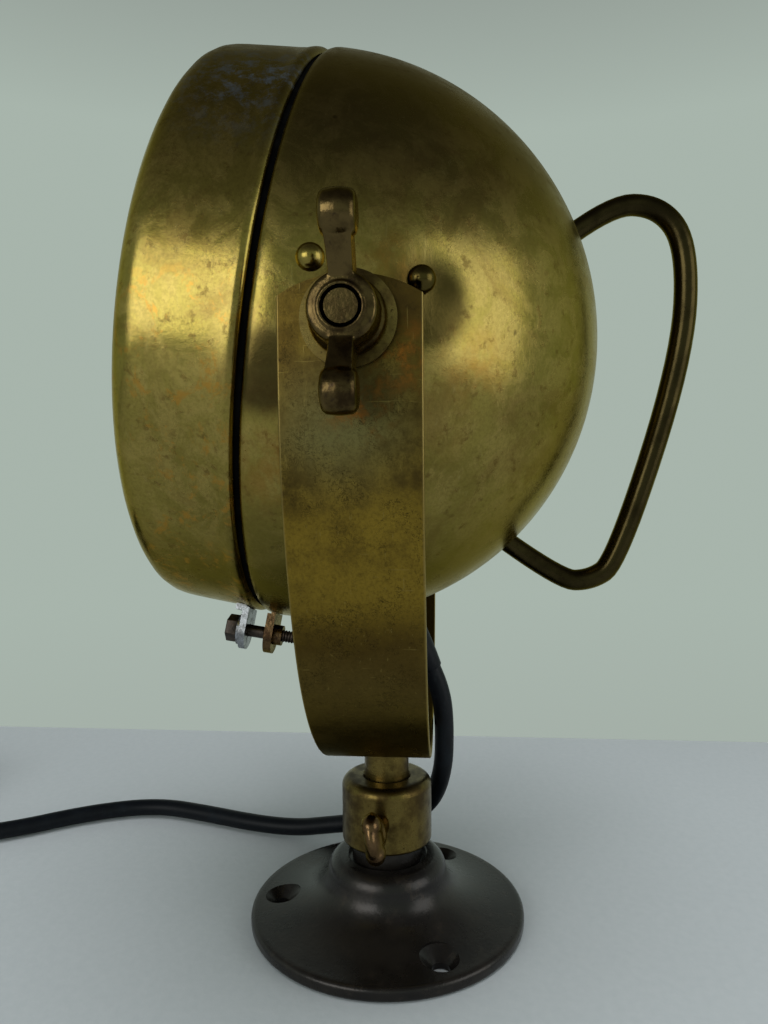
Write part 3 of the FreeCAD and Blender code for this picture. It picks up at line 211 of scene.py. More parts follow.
class Finish:
    """A surface finish on Object coordinates, so its marks stay in place on the lamp."""

    def __init__(self, name):
        self.material = bpy.data.materials.new(name)
        self.material.use_nodes = True
        self.tree = self.material.node_tree
        self.shader = self.tree.nodes["Principled BSDF"]
        self.place = self.add("ShaderNodeTexCoord", {}, {}, "Object")

    def feed(self, made, key, value):
        """Puts a number or colour on a node's socket, or links another node to it."""
        if isinstance(value, Value):
            self.tree.links.new(value.socket, made.inputs[key])
        else:
            made.inputs[key].default_value = value

    def add(self, kind, settings, inputs, output=0):
        """A new node with its settings and inputs; gives back one of its outputs."""
        made = self.tree.nodes.new(kind)
        for key, setting in settings.items():
            setattr(made, key, setting)
        for key, value in inputs.items():
            self.feed(made, key, value)
        return Value(self, made.outputs[output])

    def moved(self, turn=(0, 0, 0), stretch=(1, 1, 1)):
        """The lamp's coordinates, turned and stretched."""
        inputs = {"Vector": self.place, "Rotation": turn, "Scale": stretch}
        return self.add("ShaderNodeMapping", {}, inputs)

    def noise(self, size, detail=3.0, rough=0.55, where=None, warp=0.0):
        """Cloudy pattern from 0 to 1 whose marks are about size metres across."""
        inputs = {
            "Vector": where or self.place, "Scale": 1 / size, "Detail": detail,
            "Roughness": rough, "Distortion": warp,
        }
        return self.add("ShaderNodeTexNoise", {}, inputs)

    def between(self, value, low, high):
        """0 where value is at low, 1 where it is at high, smooth between."""
        inputs = {"Value": value, "From Min": low, "From Max": high}
        return self.add("ShaderNodeMapRange", {"interpolation_type": "SMOOTHSTEP"}, inputs)

    def patches(self, size, detail, rough, low, high, warp=0.0):
        """Cloudy patches about size metres across, 0 where their noise is low, 1 where high."""
        return self.between(self.noise(size, detail, rough, warp=warp), low, high)

    def spots(self, size):
        """Distance to the nearest of scattered points, 0 at each point, in spot sizes."""
        return self.add("ShaderNodeTexVoronoi", {}, {"Vector": self.place, "Scale": 1 / size})

    def axis(self, which):
        """Distance along the lamp's X, Y or Z, which are 0, 1 and 2, in metres."""
        return self.add("ShaderNodeSeparateXYZ", {}, {"Vector": self.place}, which)

    def unsigned(self, value):
        """A value without its sign."""
        return self.add("ShaderNodeMath", {"operation": "ABSOLUTE"}, {0: value})

    def near(self, centre, reach):
        """1 at a place on the lamp and 0 from reach metres away."""
        ends = {0: self.place, 1: centre}
        apart = self.add("ShaderNodeVectorMath", {"operation": "DISTANCE"}, ends, 1)
        return self.between(apart, reach, 0)

    def mix(self, factor, first, second):
        """Colour first where factor is 0 and second where it is 1."""
        # Inputs 6 and 7 and output 2 are the ones that the node uses for colours.
        inputs = {0: factor, 6: rgba(first), 7: rgba(second)}
        return self.add("ShaderNodeMix", {"data_type": "RGBA"}, inputs, 2)

    def layered(self, colour, *layers):
        """A colour with others laid over it in turn, each as strongly as its pattern says."""
        for amount, over in layers:
            colour = self.mix(amount, colour, over)
        return colour

    def surface(self, colour, roughness, height, depth, **constants):
        """Feeds the shader; height is a pattern from 0 to 1 that stands depth metres high."""
        bump = {"Height": height, "Distance": depth, "Strength": 1.0}
        constants["Normal"] = self.add("ShaderNodeBump", {}, bump)
        constants["Base Color"] = rgba(colour)
        constants["Roughness"] = roughness
        for key, value in constants.items():
            self.feed(self.shader, key.replace("_", " "), value)
        return self.material


cord_finish = Finish("cord_rubber")
dust = cord_finish.patches(0.012, 5, 0.65, 0.45, 0.75)
chalk = cord_finish.patches(0.0016, 3, 0.55, 0.55, 0.8)
grain = cord_finish.noise(0.0007, 2)
cord_colour = cord_finish.layered(
    (0.002, 0.003, 0.005),
    (dust, (0.006, 0.009, 0.013)),
    (chalk * 0.3, (0.020, 0.025, 0.030)),
)
cord_rubber = cord_finish.surface(
    cord_colour, 0.46 + dust * 0.18, grain, 0.00003, IOR=1.36, Specular_IOR_Level=0.3
)


def piece(name, mesh, finish, body, replaced):
    """A finished part on its body, standing for the solids it replaces."""
    mesh.materials.clear()
    mesh.materials.append(finish)
    made = bpy.data.objects.new(name, mesh)
    bpy.context.collection.objects.link(made)
    if body:
        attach(made, body)
    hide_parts(*replaced)
    return made


def cord_piece(name, route, replaced):
    """A length of the lead and its centre line, both drawn by the same control points."""
    lead = nurbs_mesh(name, route, [cord_radius] * len(route))
    line = nurbs_mesh(name + "_middle", route, None)
    path = [tuple(v.co) for v in line.vertices]
    return piece(name, lead, cord_rubber, None, replaced), path


upper_lead, upper_path = cord_piece("lead_upper", upper_route, ["cord_upper"])
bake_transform(upper_lead)
lower_lead, lower_path = cord_piece(
    "lead_lower", lower_route, ["cord_lower", "cord_run", "cord_coil"]
)
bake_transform(lower_lead)

# Plug on the lead's far end: a round two-pin plug of brown moulded plastic, with a finger
# grip, a ribbed tapered sleeve for the lead, turned brass pins and one brass screw.
plug_finish = Finish("plug_plastic")
swirl = plug_finish.noise(0.006, 5, 0.6, warp=1.5)
plug_colour = plug_finish.mix(
    plug_finish.between(swirl, 0.35, 0.7), (0.020, 0.011, 0.008), (0.055, 0.028, 0.018)
)
plug_grain = plug_finish.noise(0.0015, 2)
plug_plastic = plug_finish.surface(plug_colour, 0.28 + swirl * 0.15, plug_grain, 0.00002)
same_point = 1e-6
sharp_edge = math.radians(32)


def arc(centre, radius, start, end, steps):
    """Points of an arc in a profile, its angles in degrees from the radius axis."""
    points = []
    for k in range(steps + 1):
        angle = math.radians(start + (end - start) * k / steps)
        along, up = radius * math.cos(angle), radius * math.sin(angle)
        points.append((centre[0] + along, centre[1] + up))
    return points


def spun(profile, steps, wall=0.0, closed=False):
    """Profile of (radius, height) points spun round Z; wall gives a sheet its thickness."""
    made = bmesh.new()
    points = [made.verts.new((r, 0, z)) for r, z in profile]
    pairs = list(zip(points, points[1:])) + ([(points[-1], points[0])] if closed else [])
    lines = [made.edges.new(pair) for pair in pairs]
    bmesh.ops.spin(
        made, geom=points + lines, axis=(0, 0, 1), cent=(0, 0, 0), steps=steps,
        angle=2 * math.pi, use_merge=True, use_duplicate=False,
    )
    bmesh.ops.remove_doubles(made, verts=made.verts, dist=same_point)
    loose = [v for v in made.verts if not v.link_faces]
    bmesh.ops.delete(made, geom=loose, context="VERTS")
    bmesh.ops.recalc_face_normals(made, faces=made.faces)
    if wall:
        bmesh.ops.solidify(made, geom=made.faces[:], thickness=wall)
    return made


def placed(shape, *places):
    """Moves a shape to its places, joined in one mesh, smooth but for its sharp edges."""
    mesh = bpy.data.meshes.new("made")
    for place in places or (Matrix.Identity(4),):
        copy = shape.copy()
        bmesh.ops.transform(copy, matrix=place, verts=copy.verts)
        copy.from_mesh(mesh)
        copy.to_mesh(mesh)
        copy.free()
    for face in mesh.polygons:
        face.use_smooth = True
    mesh.set_sharp_from_angle(angle=sharp_edge)
    return mesh


def standing(point, way):
    """Place for a shape made on +Z, to stand on a point and look along a direction."""
    turn = Vector(way).to_track_quat("Z", "X").to_matrix().to_4x4()
    return Matrix.Translation(Vector(point)) @ turn


plug_face = 0.0470
sleeve_radius = 0.0054
sleeve_taper = 0.08
rib_start = 0.0025
rib_pitch = 0.0036
rib_depth = 0.0008
plug_profile = [(0, 0), (0.0048, 0), (0.0054, 0.0006)]
for k in range(5):
    z = rib_start + rib_pitch * k
    ridge = sleeve_radius + sleeve_taper * z
    groove = ridge - rib_depth
    plug_profile += [(ridge, z), (groove, z + 0.0004), (groove, z + 0.0012), (ridge, z + 0.0016)]
plug_profile += [
    (0.0072, 0.0205), (0.0086, 0.0216), (0.0110, 0.0240), (0.0126, 0.0268), (0.0130, 0.0282),
    (0.0130, 0.0320), (0.0122, 0.0330), (0.0122, 0.0400), (0.0130, 0.0410), (0.0130, 0.0455),
]
plug_profile += arc((0.0115, 0.0455), 0.0015, 0, 90, 5) + [(0, plug_face)]
plug_stand = standing(plug_place, tail_way)
plug = piece(
    "plug", placed(spun(plug_profile, steps=64), plug_stand), plug_plastic, "base",
    ["plug_body"],
)
# Brass stays golden at grazing angles, where other metals turn white.
gold_edge = (0.85, 0.76, 0.48, 1)
brass_finish = Finish("turned_brass")
tarnish = brass_finish.patches(0.007, 6, 0.65, 0.38, 0.68)
pits = brass_finish.patches(0.0009, 3, 0.6, 0.60, 0.74)
rings = brass_finish.noise(0.0011, 2, 0.5, brass_finish.moved(stretch=(0.25, 0.25, 3)))
brass_colour = brass_finish.layered(
    (0.155, 0.112, 0.032),
    (tarnish, (0.064, 0.042, 0.014)),
    (pits * 0.7, (0.030, 0.018, 0.008)),
)
turned_brass = brass_finish.surface(
    brass_colour, 0.26 + tarnish * 0.20 + pits * 0.1, rings, 0.00004, Metallic=1.0
)

pin_offset = 0.0095
pin_foot = 0.0471
pin_profile = [(0, 0), (0.0024, 0), (0.0024, 0.0178)]
pin_profile += arc((0.0012, 0.0178), 0.0012, 0, 90, 5) + [(0, 0.0190)]
pin_places = [
    plug_stand @ Matrix.Translation((0, side * pin_offset, pin_foot)) for side in (-1, 1)
]
pins = piece(
    "plug_contacts", placed(spun(pin_profile, steps=32), *pin_places), turned_brass, "base",
    ["plug_pins"],
)
screw_profile = [
    (0, 0), (0.0030, 0), (0.0030, 0.0004), (0.0026, 0.0011), (0.0016, 0.0014), (0, 0.0014),
]
plug_screw = piece(
    "plug_centre_screw",
    placed(spun(screw_profile, steps=32), plug_stand @ Matrix.Translation((0, 0, plug_face))),
    turned_brass, "base", ["plug_screw"],
)

# Tie round the coil: a band of dark woven tape, passed through the ring and drawn round
# all the turns, which keeps the lead's spare length together.
tie_finish = Finish("tie_cloth")
tie_way = math.radians(125)
weave_u, weave_v = (
    tie_finish.add("ShaderNodeTexWave", {"bands_direction": way}, {"Vector": where, "Scale": 260})
    for way, where in (("Z", tie_finish.place), ("X", tie_finish.moved(turn=(0, 0, -tie_way))))
)
weave = weave_u * 0.5 + weave_v * 0.5
woven = weave * tie_finish.noise(0.004)
tie_colour = tie_finish.mix(woven, (0.006, 0.006, 0.006), (0.050, 0.045, 0.042))
tie_cloth = tie_finish.surface(tie_colour, 0.85, weave, 0.00012)
tie_low, tie_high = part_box("cord_tie")
tie_out = Vector((math.cos(tie_way), math.sin(tie_way), 0))
tie_middle = 0.0343
tie_size = (0.0263, 0.009, tie_high.z - tie_low.z)
tie_thickness = 0.0008
band = bmesh.new()
bmesh.ops.create_cube(band, size=1)
bmesh.ops.scale(band, vec=tie_size, verts=band.verts)
corners = [e for e in band.edges if abs(e.verts[0].co.y - e.verts[1].co.y) > 0.001]
bmesh.ops.bevel(
    band, geom=corners, offset=0.0042, segments=6, profile=0.5, affect="EDGES", material=-1
)
ends = [f for f in band.faces if abs(f.normal.y) > 0.9]
bmesh.ops.delete(band, geom=ends, context="FACES")
bmesh.ops.solidify(band, geom=band.faces[:], thickness=tie_thickness)
tie_centre = Vector((coil_centre.x, coil_centre.y, (tie_high.z + tie_low.z) / 2))
tie_place = Matrix.Translation(tie_centre + tie_out * tie_middle)
tie_place = tie_place @ Matrix.Rotation(tie_way, 4, "Z")
piece("coil_tie", placed(band, tie_place), tie_cloth, "base", ["cord_tie"])

# Foot: one casting with a broad round flange, a bell-shaped neck and a threaded spigot,
# blackened to a dark brown satin; three countersunk holes take the screws that fix it.
foot_finish = Finish("foot_metal")
bloom = foot_finish.patches(0.020, 5, 0.6, 0.35, 0.7)
wear = foot_finish.patches(0.005, 6, 0.7, 0.56, 0.74)
chips = foot_finish.patches(0.0013, 3, 0.6, 0.66, 0.74)
sand = foot_finish.noise(0.0012, 4, 0.6)
foot_colour = foot_finish.layered(
    (0.014, 0.012, 0.011),
    (bloom, (0.030, 0.025, 0.021)),
    (wear * 0.4, (0.055, 0.040, 0.030)),
    (chips * 0.6, (0.006, 0.005, 0.005)),
)
foot_metal = foot_finish.surface(
    foot_colour, 0.24 + bloom * 0.10 + wear * 0.05, sand, 0.00006, Metallic=0.55
)


def swept(start, pull, push, end, steps):
    """Smooth curve of a profile between two points, drawn towards two others."""
    points = [Vector((*p, 0)) for p in (start, pull, push, end)]
    return [tuple(p)[:2] for p in interpolate_bezier(*points, steps)]


foot_profile = [(0, 0.0090), (0.0080, 0.0090), (0.0160, 0.0004), (0.0164, 0)]
foot_profile += arc((0.0463, 0.0012), 0.0012, -90, 0, 5) + arc((0.0459, 0.0028), 0.0016, 0, 80, 6)
foot_profile += swept((0.0450, 0.0044), (0.0330, 0.0052), (0.0222, 0.0072), (0.0208, 0.0160), 24)
foot_profile += swept((0.0207, 0.0164), (0.0205, 0.0194), (0.0188, 0.0216), (0.0166, 0.0219), 12)
foot_profile += [(0.0140, 0.0220), (0.0136, 0.0217), (0.0136, 0.0204), (0.0122, 0.0204)]
foot_profile += [(0.0122, 0.0268), (0.0116, 0.0274), (0.0100, 0.0274), (0.0100, 0.0330)]
foot_profile += [(0, 0.0330)]
foot_hole_circle = 0.0380
hole_profile = [
    (0, -0.002), (0.0029, -0.002), (0.0029, 0.0018), (0.0068, 0.0057), (0.0068, 0.0100),
    (0, 0.0100),
]
hole_places = []
for angle in (-90, 30, 150):
    x = foot_hole_circle * math.cos(math.radians(angle))
    y = foot_hole_circle * math.sin(math.radians(angle))
    hole_places.append(Matrix.Translation((x, y, 0)))


def bored(shape, cutter):
    """Cuts one shape out of another, as a drill and a countersink do."""
    holders = []
    for name, part in (("stock", shape), ("drill", cutter)):
        mesh = bpy.data.meshes.new(name)
        part.to_mesh(mesh)
        part.free()
        holders.append(bpy.data.objects.new(name, mesh))
        bpy.context.collection.objects.link(holders[-1])
    cut = holders[0].modifiers.new("cut", "BOOLEAN")
    cut.object = holders[1]
    cut.solver = "EXACT"
    made = bmesh.new()
    made.from_mesh(settled(holders[0]).to_mesh())
    for holder in holders:
        bpy.data.objects.remove(holder)
    return made


drills = bmesh.new()
drills.from_mesh(placed(spun(hole_profile, steps=40), *hole_places))
foot = bored(spun(foot_profile, steps=160), drills)
piece("cast_foot", placed(foot), foot_metal, "base", ["base_flange"])


def finished(finish, *names):
    """Gives solids that keep their own shape their finish."""
    for name in names:
        for slot in node[name].material_slots:
            slot.material = finish


# Collar: turned brass, screwed down on the foot's spigot, with a rounded top edge; the
# post turns in its bore.
finished(turned_brass, "collar")

# Thumb screw: one bronze casting, a leaf with two small ears on a short round neck, whose
# threaded end goes in through the collar's side and clamps the post.
bronze_finish = Finish("bronze")
skin = bronze_finish.patches(0.006, 6, 0.65, 0.38, 0.68)
soot = bronze_finish.patches(0.0016, 4, 0.6, 0.56, 0.72)
high_up = bronze_finish.between(bronze_finish.axis(2), 0.110, 0.140)
high_colour = bronze_finish.mix(skin, (0.100, 0.072, 0.024), (0.024, 0.016, 0.006))
bronze_colour = bronze_finish.layered(
    (0.135, 0.082, 0.038),
    (skin, (0.045, 0.025, 0.013)),
    (high_up * 0.75, high_colour),
    (soot * 0.7, (0.022, 0.014, 0.010)),
)
cast_skin = bronze_finish.noise(0.0010, 4, 0.6)
bronze = bronze_finish.surface(
    bronze_colour, 0.16 + skin * 0.16, cast_skin, 0.00007, Metallic=1.0, Specular_Tint=gold_edge
)


def cast(shape, grain_size, softened):
    """Melts overlapping shapes into one skin with soft inner corners, as a casting has."""
    mesh = bpy.data.meshes.new("pattern")
    shape.to_mesh(mesh)
    shape.free()
    holder = bpy.data.objects.new("pattern", mesh)
    bpy.context.collection.objects.link(holder)
    remesh = holder.modifiers.new("skin", "REMESH")
    remesh.mode = "VOXEL"
    remesh.voxel_size = grain_size
    made = bmesh.new()
    made.from_mesh(settled(holder).to_mesh())
    bpy.data.objects.remove(holder)
    for _ in range(softened):
        bmesh.ops.smooth_vert(
            made, verts=made.verts, factor=0.5, use_axis_x=True, use_axis_y=True, use_axis_z=True
        )
    return made


def ball(shape, place):
    """Adds a ball of radius 1 to a shape, moved and squeezed by its place."""
    bmesh.ops.create_uvsphere(shape, u_segments=32, v_segments=20, radius=1, matrix=place)


def rod(shape, place, low, high):
    """Adds a rod of length 1 along Z to a shape, with a radius at each end."""
    bmesh.ops.create_cone(
        shape, cap_ends=True, segments=48, depth=1, radius1=low, radius2=high, matrix=place
    )


def sized(x, y, z):
    """Place that only stretches, along each axis."""
    return Matrix.Diagonal((x, y, z, 1))


thumb_height = 0.0385
thumb_turn = math.radians(-5)
leaf_twist = math.radians(9)
thumb_place = Matrix.Translation((0, 0, thumb_height)) @ Matrix.Rotation(thumb_turn, 4, "Z")
along_x = Matrix.Rotation(math.radians(90), 4, "Y")
leaf = bmesh.new()
for x, long, low, high in ((0.0130, 0.0106, 0.0025, 0.0025), (0.0178, 0.0040, 0.0036, 0.0030)):
    rod(leaf, Matrix.Translation((x, 0, 0)) @ along_x @ sized(1, 1, long), low, high)
for x, z, size in (
    (0.0252, 0, (0.0062, 0.0029, 0.0082)),
    (0.0215, 0, (0.0042, 0.0034, 0.0056)),
    (0.0262, -0.0046, (0.0040, 0.0033, 0.0036)),
    (0.0262, 0.0046, (0.0040, 0.0033, 0.0036)),
):
    ball(leaf, Matrix.Translation((x, 0, z)) @ sized(*size))
twist = Matrix.Rotation(leaf_twist, 3, "X")
bmesh.ops.rotate(leaf, cent=(0, 0, 0), matrix=twist, verts=leaf.verts)
cast_leaf = placed(cast(leaf, grain_size=0.00028, softened=8), thumb_place)
piece("thumb_leaf", cast_leaf, bronze, "thumb_screw", ["thumb_screw"])

# Post, its washer and nut: the turned post stands in the collar, and its tenon goes up
# through the strap under a steel washer and a hexagon nut.
steel_finish = Finish("dark_steel")
film = steel_finish.patches(0.004, 5, 0.6, 0.35, 0.7)
rust = steel_finish.patches(0.0012, 4, 0.65, 0.58, 0.72)
steel_grain = steel_finish.noise(0.0008, 3)
steel_colour = steel_finish.layered(
    (0.030, 0.024, 0.020),
    (film, (0.085, 0.065, 0.050)),
    (rust * 0.5, (0.12, 0.055, 0.025)),
)
dark_steel = steel_finish.surface(
    steel_colour, 0.34 + film * 0.16 + rust * 0.2, steel_grain, 0.00004, Metallic=0.9
)
finished(turned_brass, "swivel_post")
finished(dark_steel, "post_washer", "post_nut")

# Yoke: one bar of rolled brass, bent round the lamp in a U, its arms ending in shallow
# arches; olive-brown, scratched all over, rubbed bright along its edges.
strap_finish = Finish("strap_brass")
cloud = strap_finish.patches(0.040, 5, 0.6, 0.36, 0.66, warp=0.6)
stain = strap_finish.patches(0.011, 6, 0.68, 0.44, 0.70)
speck = strap_finish.patches(0.0022, 5, 0.7, 0.56, 0.70)
dark_mottle = strap_finish.patches(0.008, 5, 0.7, 0.34, 0.60)
grit = strap_finish.patches(0.0008, 4, 0.8, 0.42, 0.66)
streaks = strap_finish.patches(0.004, 5, 0.7, 0.42, 0.70)
hair_one = strap_finish.moved(turn=(0.55, 0.1, 0), stretch=(1, 1, 0.07))
hair_one = strap_finish.noise(0.0009, 3, 0.7, hair_one)
hair_two = strap_finish.moved(turn=(-0.75, 0, 0), stretch=(1, 0.07, 1))
hair_two = strap_finish.noise(0.0008, 3, 0.7, hair_two)
scratches = (
    strap_finish.between(hair_one, 0.64, 0.72) + strap_finish.between(hair_two, 0.65, 0.73)
)
crackle = strap_finish.unsigned(strap_finish.noise(0.0020, 4, 0.7, warp=0.5) - 0.5)
crazed = strap_finish.between(crackle, 0.022, 0.004)
crazed = crazed * strap_finish.patches(0.014, 3, 0.55, 0.46, 0.60)
strap_height = strap_finish.axis(2) + (stain - 0.5) * 0.006
golden = strap_finish.between(strap_height + cloud * 0.008, 0.164, 0.138)
golden = golden * strap_finish.between(strap_height, 0.110, 0.124)
# Painted shade: the strap is darkened towards its foot.
painted_low_shade = strap_finish.between(strap_height, 0.116, 0.096)
olive = strap_finish.near((0.095, -0.0020, 0.1640), 0.024)
edges = strap_finish.between(strap_finish.unsigned(strap_finish.axis(1)), 0.0156, 0.0161)
# Dark spots on the strap: the first, round the wing nut, is painted shadow; the others darken it
# in patches.
nut_shadow_and_dark_spots = (
    ((0.095, 0.0020, 0.1860), 0.030), ((0.095, 0.0150, 0.1600), 0.018),
    ((0.095, -0.0140, 0.1500), 0.012), ((0.095, -0.0130, 0.1230), 0.013),
    ((0.095, 0.0040, 0.1150), 0.010),
)
rusty_spots = (((0.095, 0.0120, 0.1800), 0.011), ((0.095, 0.0020, 0.1690), 0.011))
strap_colour = strap_finish.layered(
    (0.150, 0.100, 0.018),
    (cloud, (0.082, 0.050, 0.010)),
    (olive * 0.9, (0.160, 0.145, 0.055)),
    (golden * 0.85, (0.250, 0.165, 0.022)),
    (stain * 0.55, (0.060, 0.038, 0.010)),
    (painted_low_shade * 0.6, (0.110, 0.076, 0.024)),
    *((strap_finish.near(*spot) * dark_mottle * 0.95, (0.040, 0.025, 0.008)) for spot in nut_shadow_and_dark_spots),
    (grit * 0.4, (0.056, 0.038, 0.010)),
    (speck * 0.35 + crazed * 0.85, (0.026, 0.018, 0.006)),
    *((strap_finish.near(*spot) * streaks * 0.85, (0.26, 0.095, 0.014)) for spot in rusty_spots),
    (scratches * 0.4, (0.27, 0.20, 0.055)),
    (edges * 0.7, (0.30, 0.22, 0.075)),
)
strap_rough = 0.27 + cloud * 0.10 + stain * 0.08 + speck * 0.1
strap_dents = strap_finish.noise(0.006, 4, 0.5) * 0.7 + scratches * 0.08
strap_dents = strap_dents + grit * 0.06 + crazed * 0.05
strap_brass = strap_finish.surface(
    strap_colour, strap_rough, strap_dents, 0.00010, Metallic=1.0, Specular_Tint=gold_edge
)
finished(strap_brass, "yoke_strap")

# Body shell: a hemisphere spun from sheet brass with a rounded mouth edge, a little dented
# about the rivets, and polished through an uneven brown patina.
tilt = math.radians(8.8)
mouth_centre = Vector((0, -0.022295, 0.196612))
head_place = Matrix.Translation(mouth_centre) @ Matrix.Rotation(math.radians(90) - tilt, 4, "X")
ball_centre = Vector((0, 0, -0.0020))
shell_radius = 0.0902
shell_wall = 0.0012
pivot_drop = 0.0051
pivot_back = 0.02335
rivet_offset = 0.0138
rivet_front_offset = 0.0117


def patinated(name, top_shade_band, low_shade_band, top_shade_colour):
    """Spun brass gone brown, polished back in clouds, with dark spots, rubbing marks, a painted
    dark reflection on its top and painted shade low down.
    """
    finish = Finish(name)
    clouds = finish.patches(0.055, 4, 0.55, 0.34, 0.66, warp=0.8)
    mottle = finish.patches(0.011, 8, 0.74, 0.42, 0.60, warp=0.6)
    freckle = finish.patches(0.0040, 6, 0.72, 0.55, 0.68)
    grit = finish.patches(0.0009, 4, 0.8, 0.40, 0.66)
    blush = finish.patches(0.026, 6, 0.7, 0.50, 0.66, warp=0.8)
    dots = finish.between(finish.spots(0.0085), 0.10, 0.04)
    dots = dots * finish.between(clouds, 0.3, 0.7)
    rub = finish.noise(0.0010, 3, 0.7, finish.moved(turn=(0.4, 0.2, 0), stretch=(1, 1, 0.05)))
    rubbed = finish.between(rub, 0.62, 0.72)
    # Painted reflection and shade: the upper part is darkened towards the given dark colour, and
    # the lower part is darkened as shade.
    height = finish.axis(2)
    painted_top_shade = finish.between(height + clouds * 0.02, *top_shade_band)
    low = finish.between(height, *low_shade_band)
    colour = finish.layered(
        (0.285, 0.225, 0.052),
        (clouds, (0.190, 0.150, 0.032)),
        (mottle * 0.6, (0.37, 0.275, 0.080)),
        (blush * 0.5, (0.170, 0.105, 0.028)),
        (freckle * 0.6, (0.105, 0.060, 0.016)),
        (low * 0.88, (0.092, 0.074, 0.016)),
        (painted_top_shade * 0.80, top_shade_colour),
        (grit * 0.30, (0.100, 0.070, 0.018)),
        (dots * 0.6, (0.030, 0.018, 0.008)),
        (rubbed * 0.15, (0.40, 0.33, 0.14)),
    )
    rough = 0.15 + clouds * 0.06 + mottle * 0.09 + freckle * 0.08 + painted_top_shade * 0.10
    relief = finish.noise(0.030, 2, 0.4) * 0.9 + mottle * 0.02 + freckle * 0.03
    relief = relief + rubbed * 0.02 + grit * 0.02
    return finish, colour, rough, relief


# Bands and colour of the shell's painted dark top and painted lower shade.
shell_finish, shell_colour, shell_rough, shell_relief = patinated(
    "shell_brass", (0.200, 0.265), (0.165, 0.110), (0.075, 0.056, 0.024)
)
drip = shell_finish.near((0.078, -0.006, 0.172), 0.030)
drip = drip * shell_finish.patches(0.004, 5, 0.7, 0.4, 0.65)
# Painted shade: dark patches in the dent by the upper rear rivet and on the shell between the rim
# and the strap.
painted_shade_spots = sum(
    shell_finish.between(shell_finish.near(*spot), 0.05, 0.50)
    for spot in (((0.0845, 0.0180, 0.1940), 0.017), ((0.085, -0.0205, 0.1790), 0.016))
)
amber_spots = (
    ((0.081, -0.0200, 0.1530), 0.016), ((0.084, 0.0080, 0.2040), 0.010),
    ((0.077, 0.0300, 0.1790), 0.016), ((0.078, 0.0260, 0.1580), 0.012),
)
amber = sum(shell_finish.near(*spot) for spot in amber_spots)
amber = amber * shell_finish.patches(0.007, 5, 0.7, 0.36, 0.62)
shell_colour = shell_finish.layered(
    shell_colour,
    (drip * 0.7, (0.20, 0.085, 0.020)),
    (painted_shade_spots * 0.85, (0.040, 0.028, 0.009)),
    (amber * 0.6, (0.230, 0.110, 0.018)),
)
shell_brass = shell_finish.surface(
    shell_colour, shell_rough, shell_relief, 0.00030, Metallic=1.0, Specular_Tint=gold_edge
)

rivet_seats = []
for side in (-1, 1):
    for up_step in (-1, 1):
        for forward_step in (-1, 1):
            up = rivet_offset * up_step - pivot_drop
            forward = (rivet_front_offset if forward_step > 0 else -rivet_offset) - pivot_back
            level = forward - ball_centre.z
            across = side * math.sqrt(shell_radius ** 2 - up ** 2 - level ** 2)
            rivet_seats.append(Vector((across, up, forward)))

shell_profile = [
    (0.0880, 0.0010), (0.0886, 0.0010), (0.0893, 0.0006), (0.0898, -0.0001), (0.0901, -0.0010),
]
shell_profile += arc((0, ball_centre.z), shell_radius, 0, -90, 64)
shell = spun(shell_profile, steps=192)
near_upper_rear = rivet_seats[6]
rivet_dent_depth = 0.00025
rivet_dent_reach = 0.0055
knock_shift = Vector((0, 0.0005, -0.0040))
knock_depth = 0.00105
knock_reach = 0.0072
dents = [(seat, rivet_dent_depth, rivet_dent_reach) for seat in rivet_seats]
dents.append((near_upper_rear + knock_shift, knock_depth, knock_reach))
for vert in shell.verts:
    outward = (vert.co - ball_centre).normalized()
    for seat, depth, reach in dents:
        apart = (vert.co - seat).length
        if apart < 3 * reach:
            vert.co -= outward * depth * math.exp(-(apart / reach) ** 2)
bmesh.ops.solidify(shell, geom=shell.faces[:], thickness=shell_wall)
piece("spun_shell", placed(shell, head_place), shell_brass, "head", ["body_shell"])
finished(shell_brass, "seat_ring", "rim_hook")

# Front rim: spun brass with a rolled rear edge, a nearly straight wall, a round shoulder
# and a lip over the lens; a rubber gasket shows black in the gap behind it.
# Bands and colour of the rim's painted dark top and painted lower shade.
rim_finish, rim_colour, rim_rough, rim_relief = patinated(
    "rim_brass", (0.220, 0.280), (0.16, 0.10), (0.078, 0.064, 0.026)
)
limy = rim_finish.near((0.0680, -0.0265, 0.2540), 0.032)
limy = limy * rim_finish.patches(0.0050, 8, 0.80, 0.46, 0.62)
rim_amber = rim_finish.patches(0.0075, 6, 0.75, 0.52, 0.64, warp=0.5)
rim_amber = rim_amber * rim_finish.between(rim_finish.axis(2), 0.206, 0.196)
rim_colour = rim_finish.layered(
    rim_colour, (limy * 0.8, (0.20, 0.26, 0.35)), (rim_amber * 0.8, (0.36, 0.190, 0.032))
)
rim_brass = rim_finish.surface(
    rim_colour, rim_rough + limy * 0.2, rim_relief, 0.00026, Metallic=1.0, Specular_Tint=gold_edge
)
rim_wall = 0.0012
rim_profile = [
    (0.0880, 0.0026), (0.0884, 0.0025), (0.0890, 0.0028), (0.0895, 0.0034), (0.0898, 0.0042),
    (0.0898, 0.0050), (0.0896, 0.0060), (0.0893, 0.0072), (0.0891, 0.0100), (0.0888, 0.0180),
    (0.0885, 0.0250), (0.0883, 0.0276), (0.0879, 0.0298), (0.0869, 0.0320), (0.0854, 0.0336),
    (0.0834, 0.0350), (0.0812, 0.0360), (0.0790, 0.0365), (0.0778, 0.0367), (0.0770, 0.0372),
    (0.0762, 0.0375), (0.0756, 0.0373), (0.0755, 0.0368),
]
rim = placed(spun(rim_profile, steps=192, wall=rim_wall), head_place)
piece("spun_rim", rim, rim_brass, "head", ["front_rim"])
seal_finish = Finish("seal_rubber")
seal_bloom = seal_finish.patches(0.005, 5, 0.55, 0.4, 0.7)
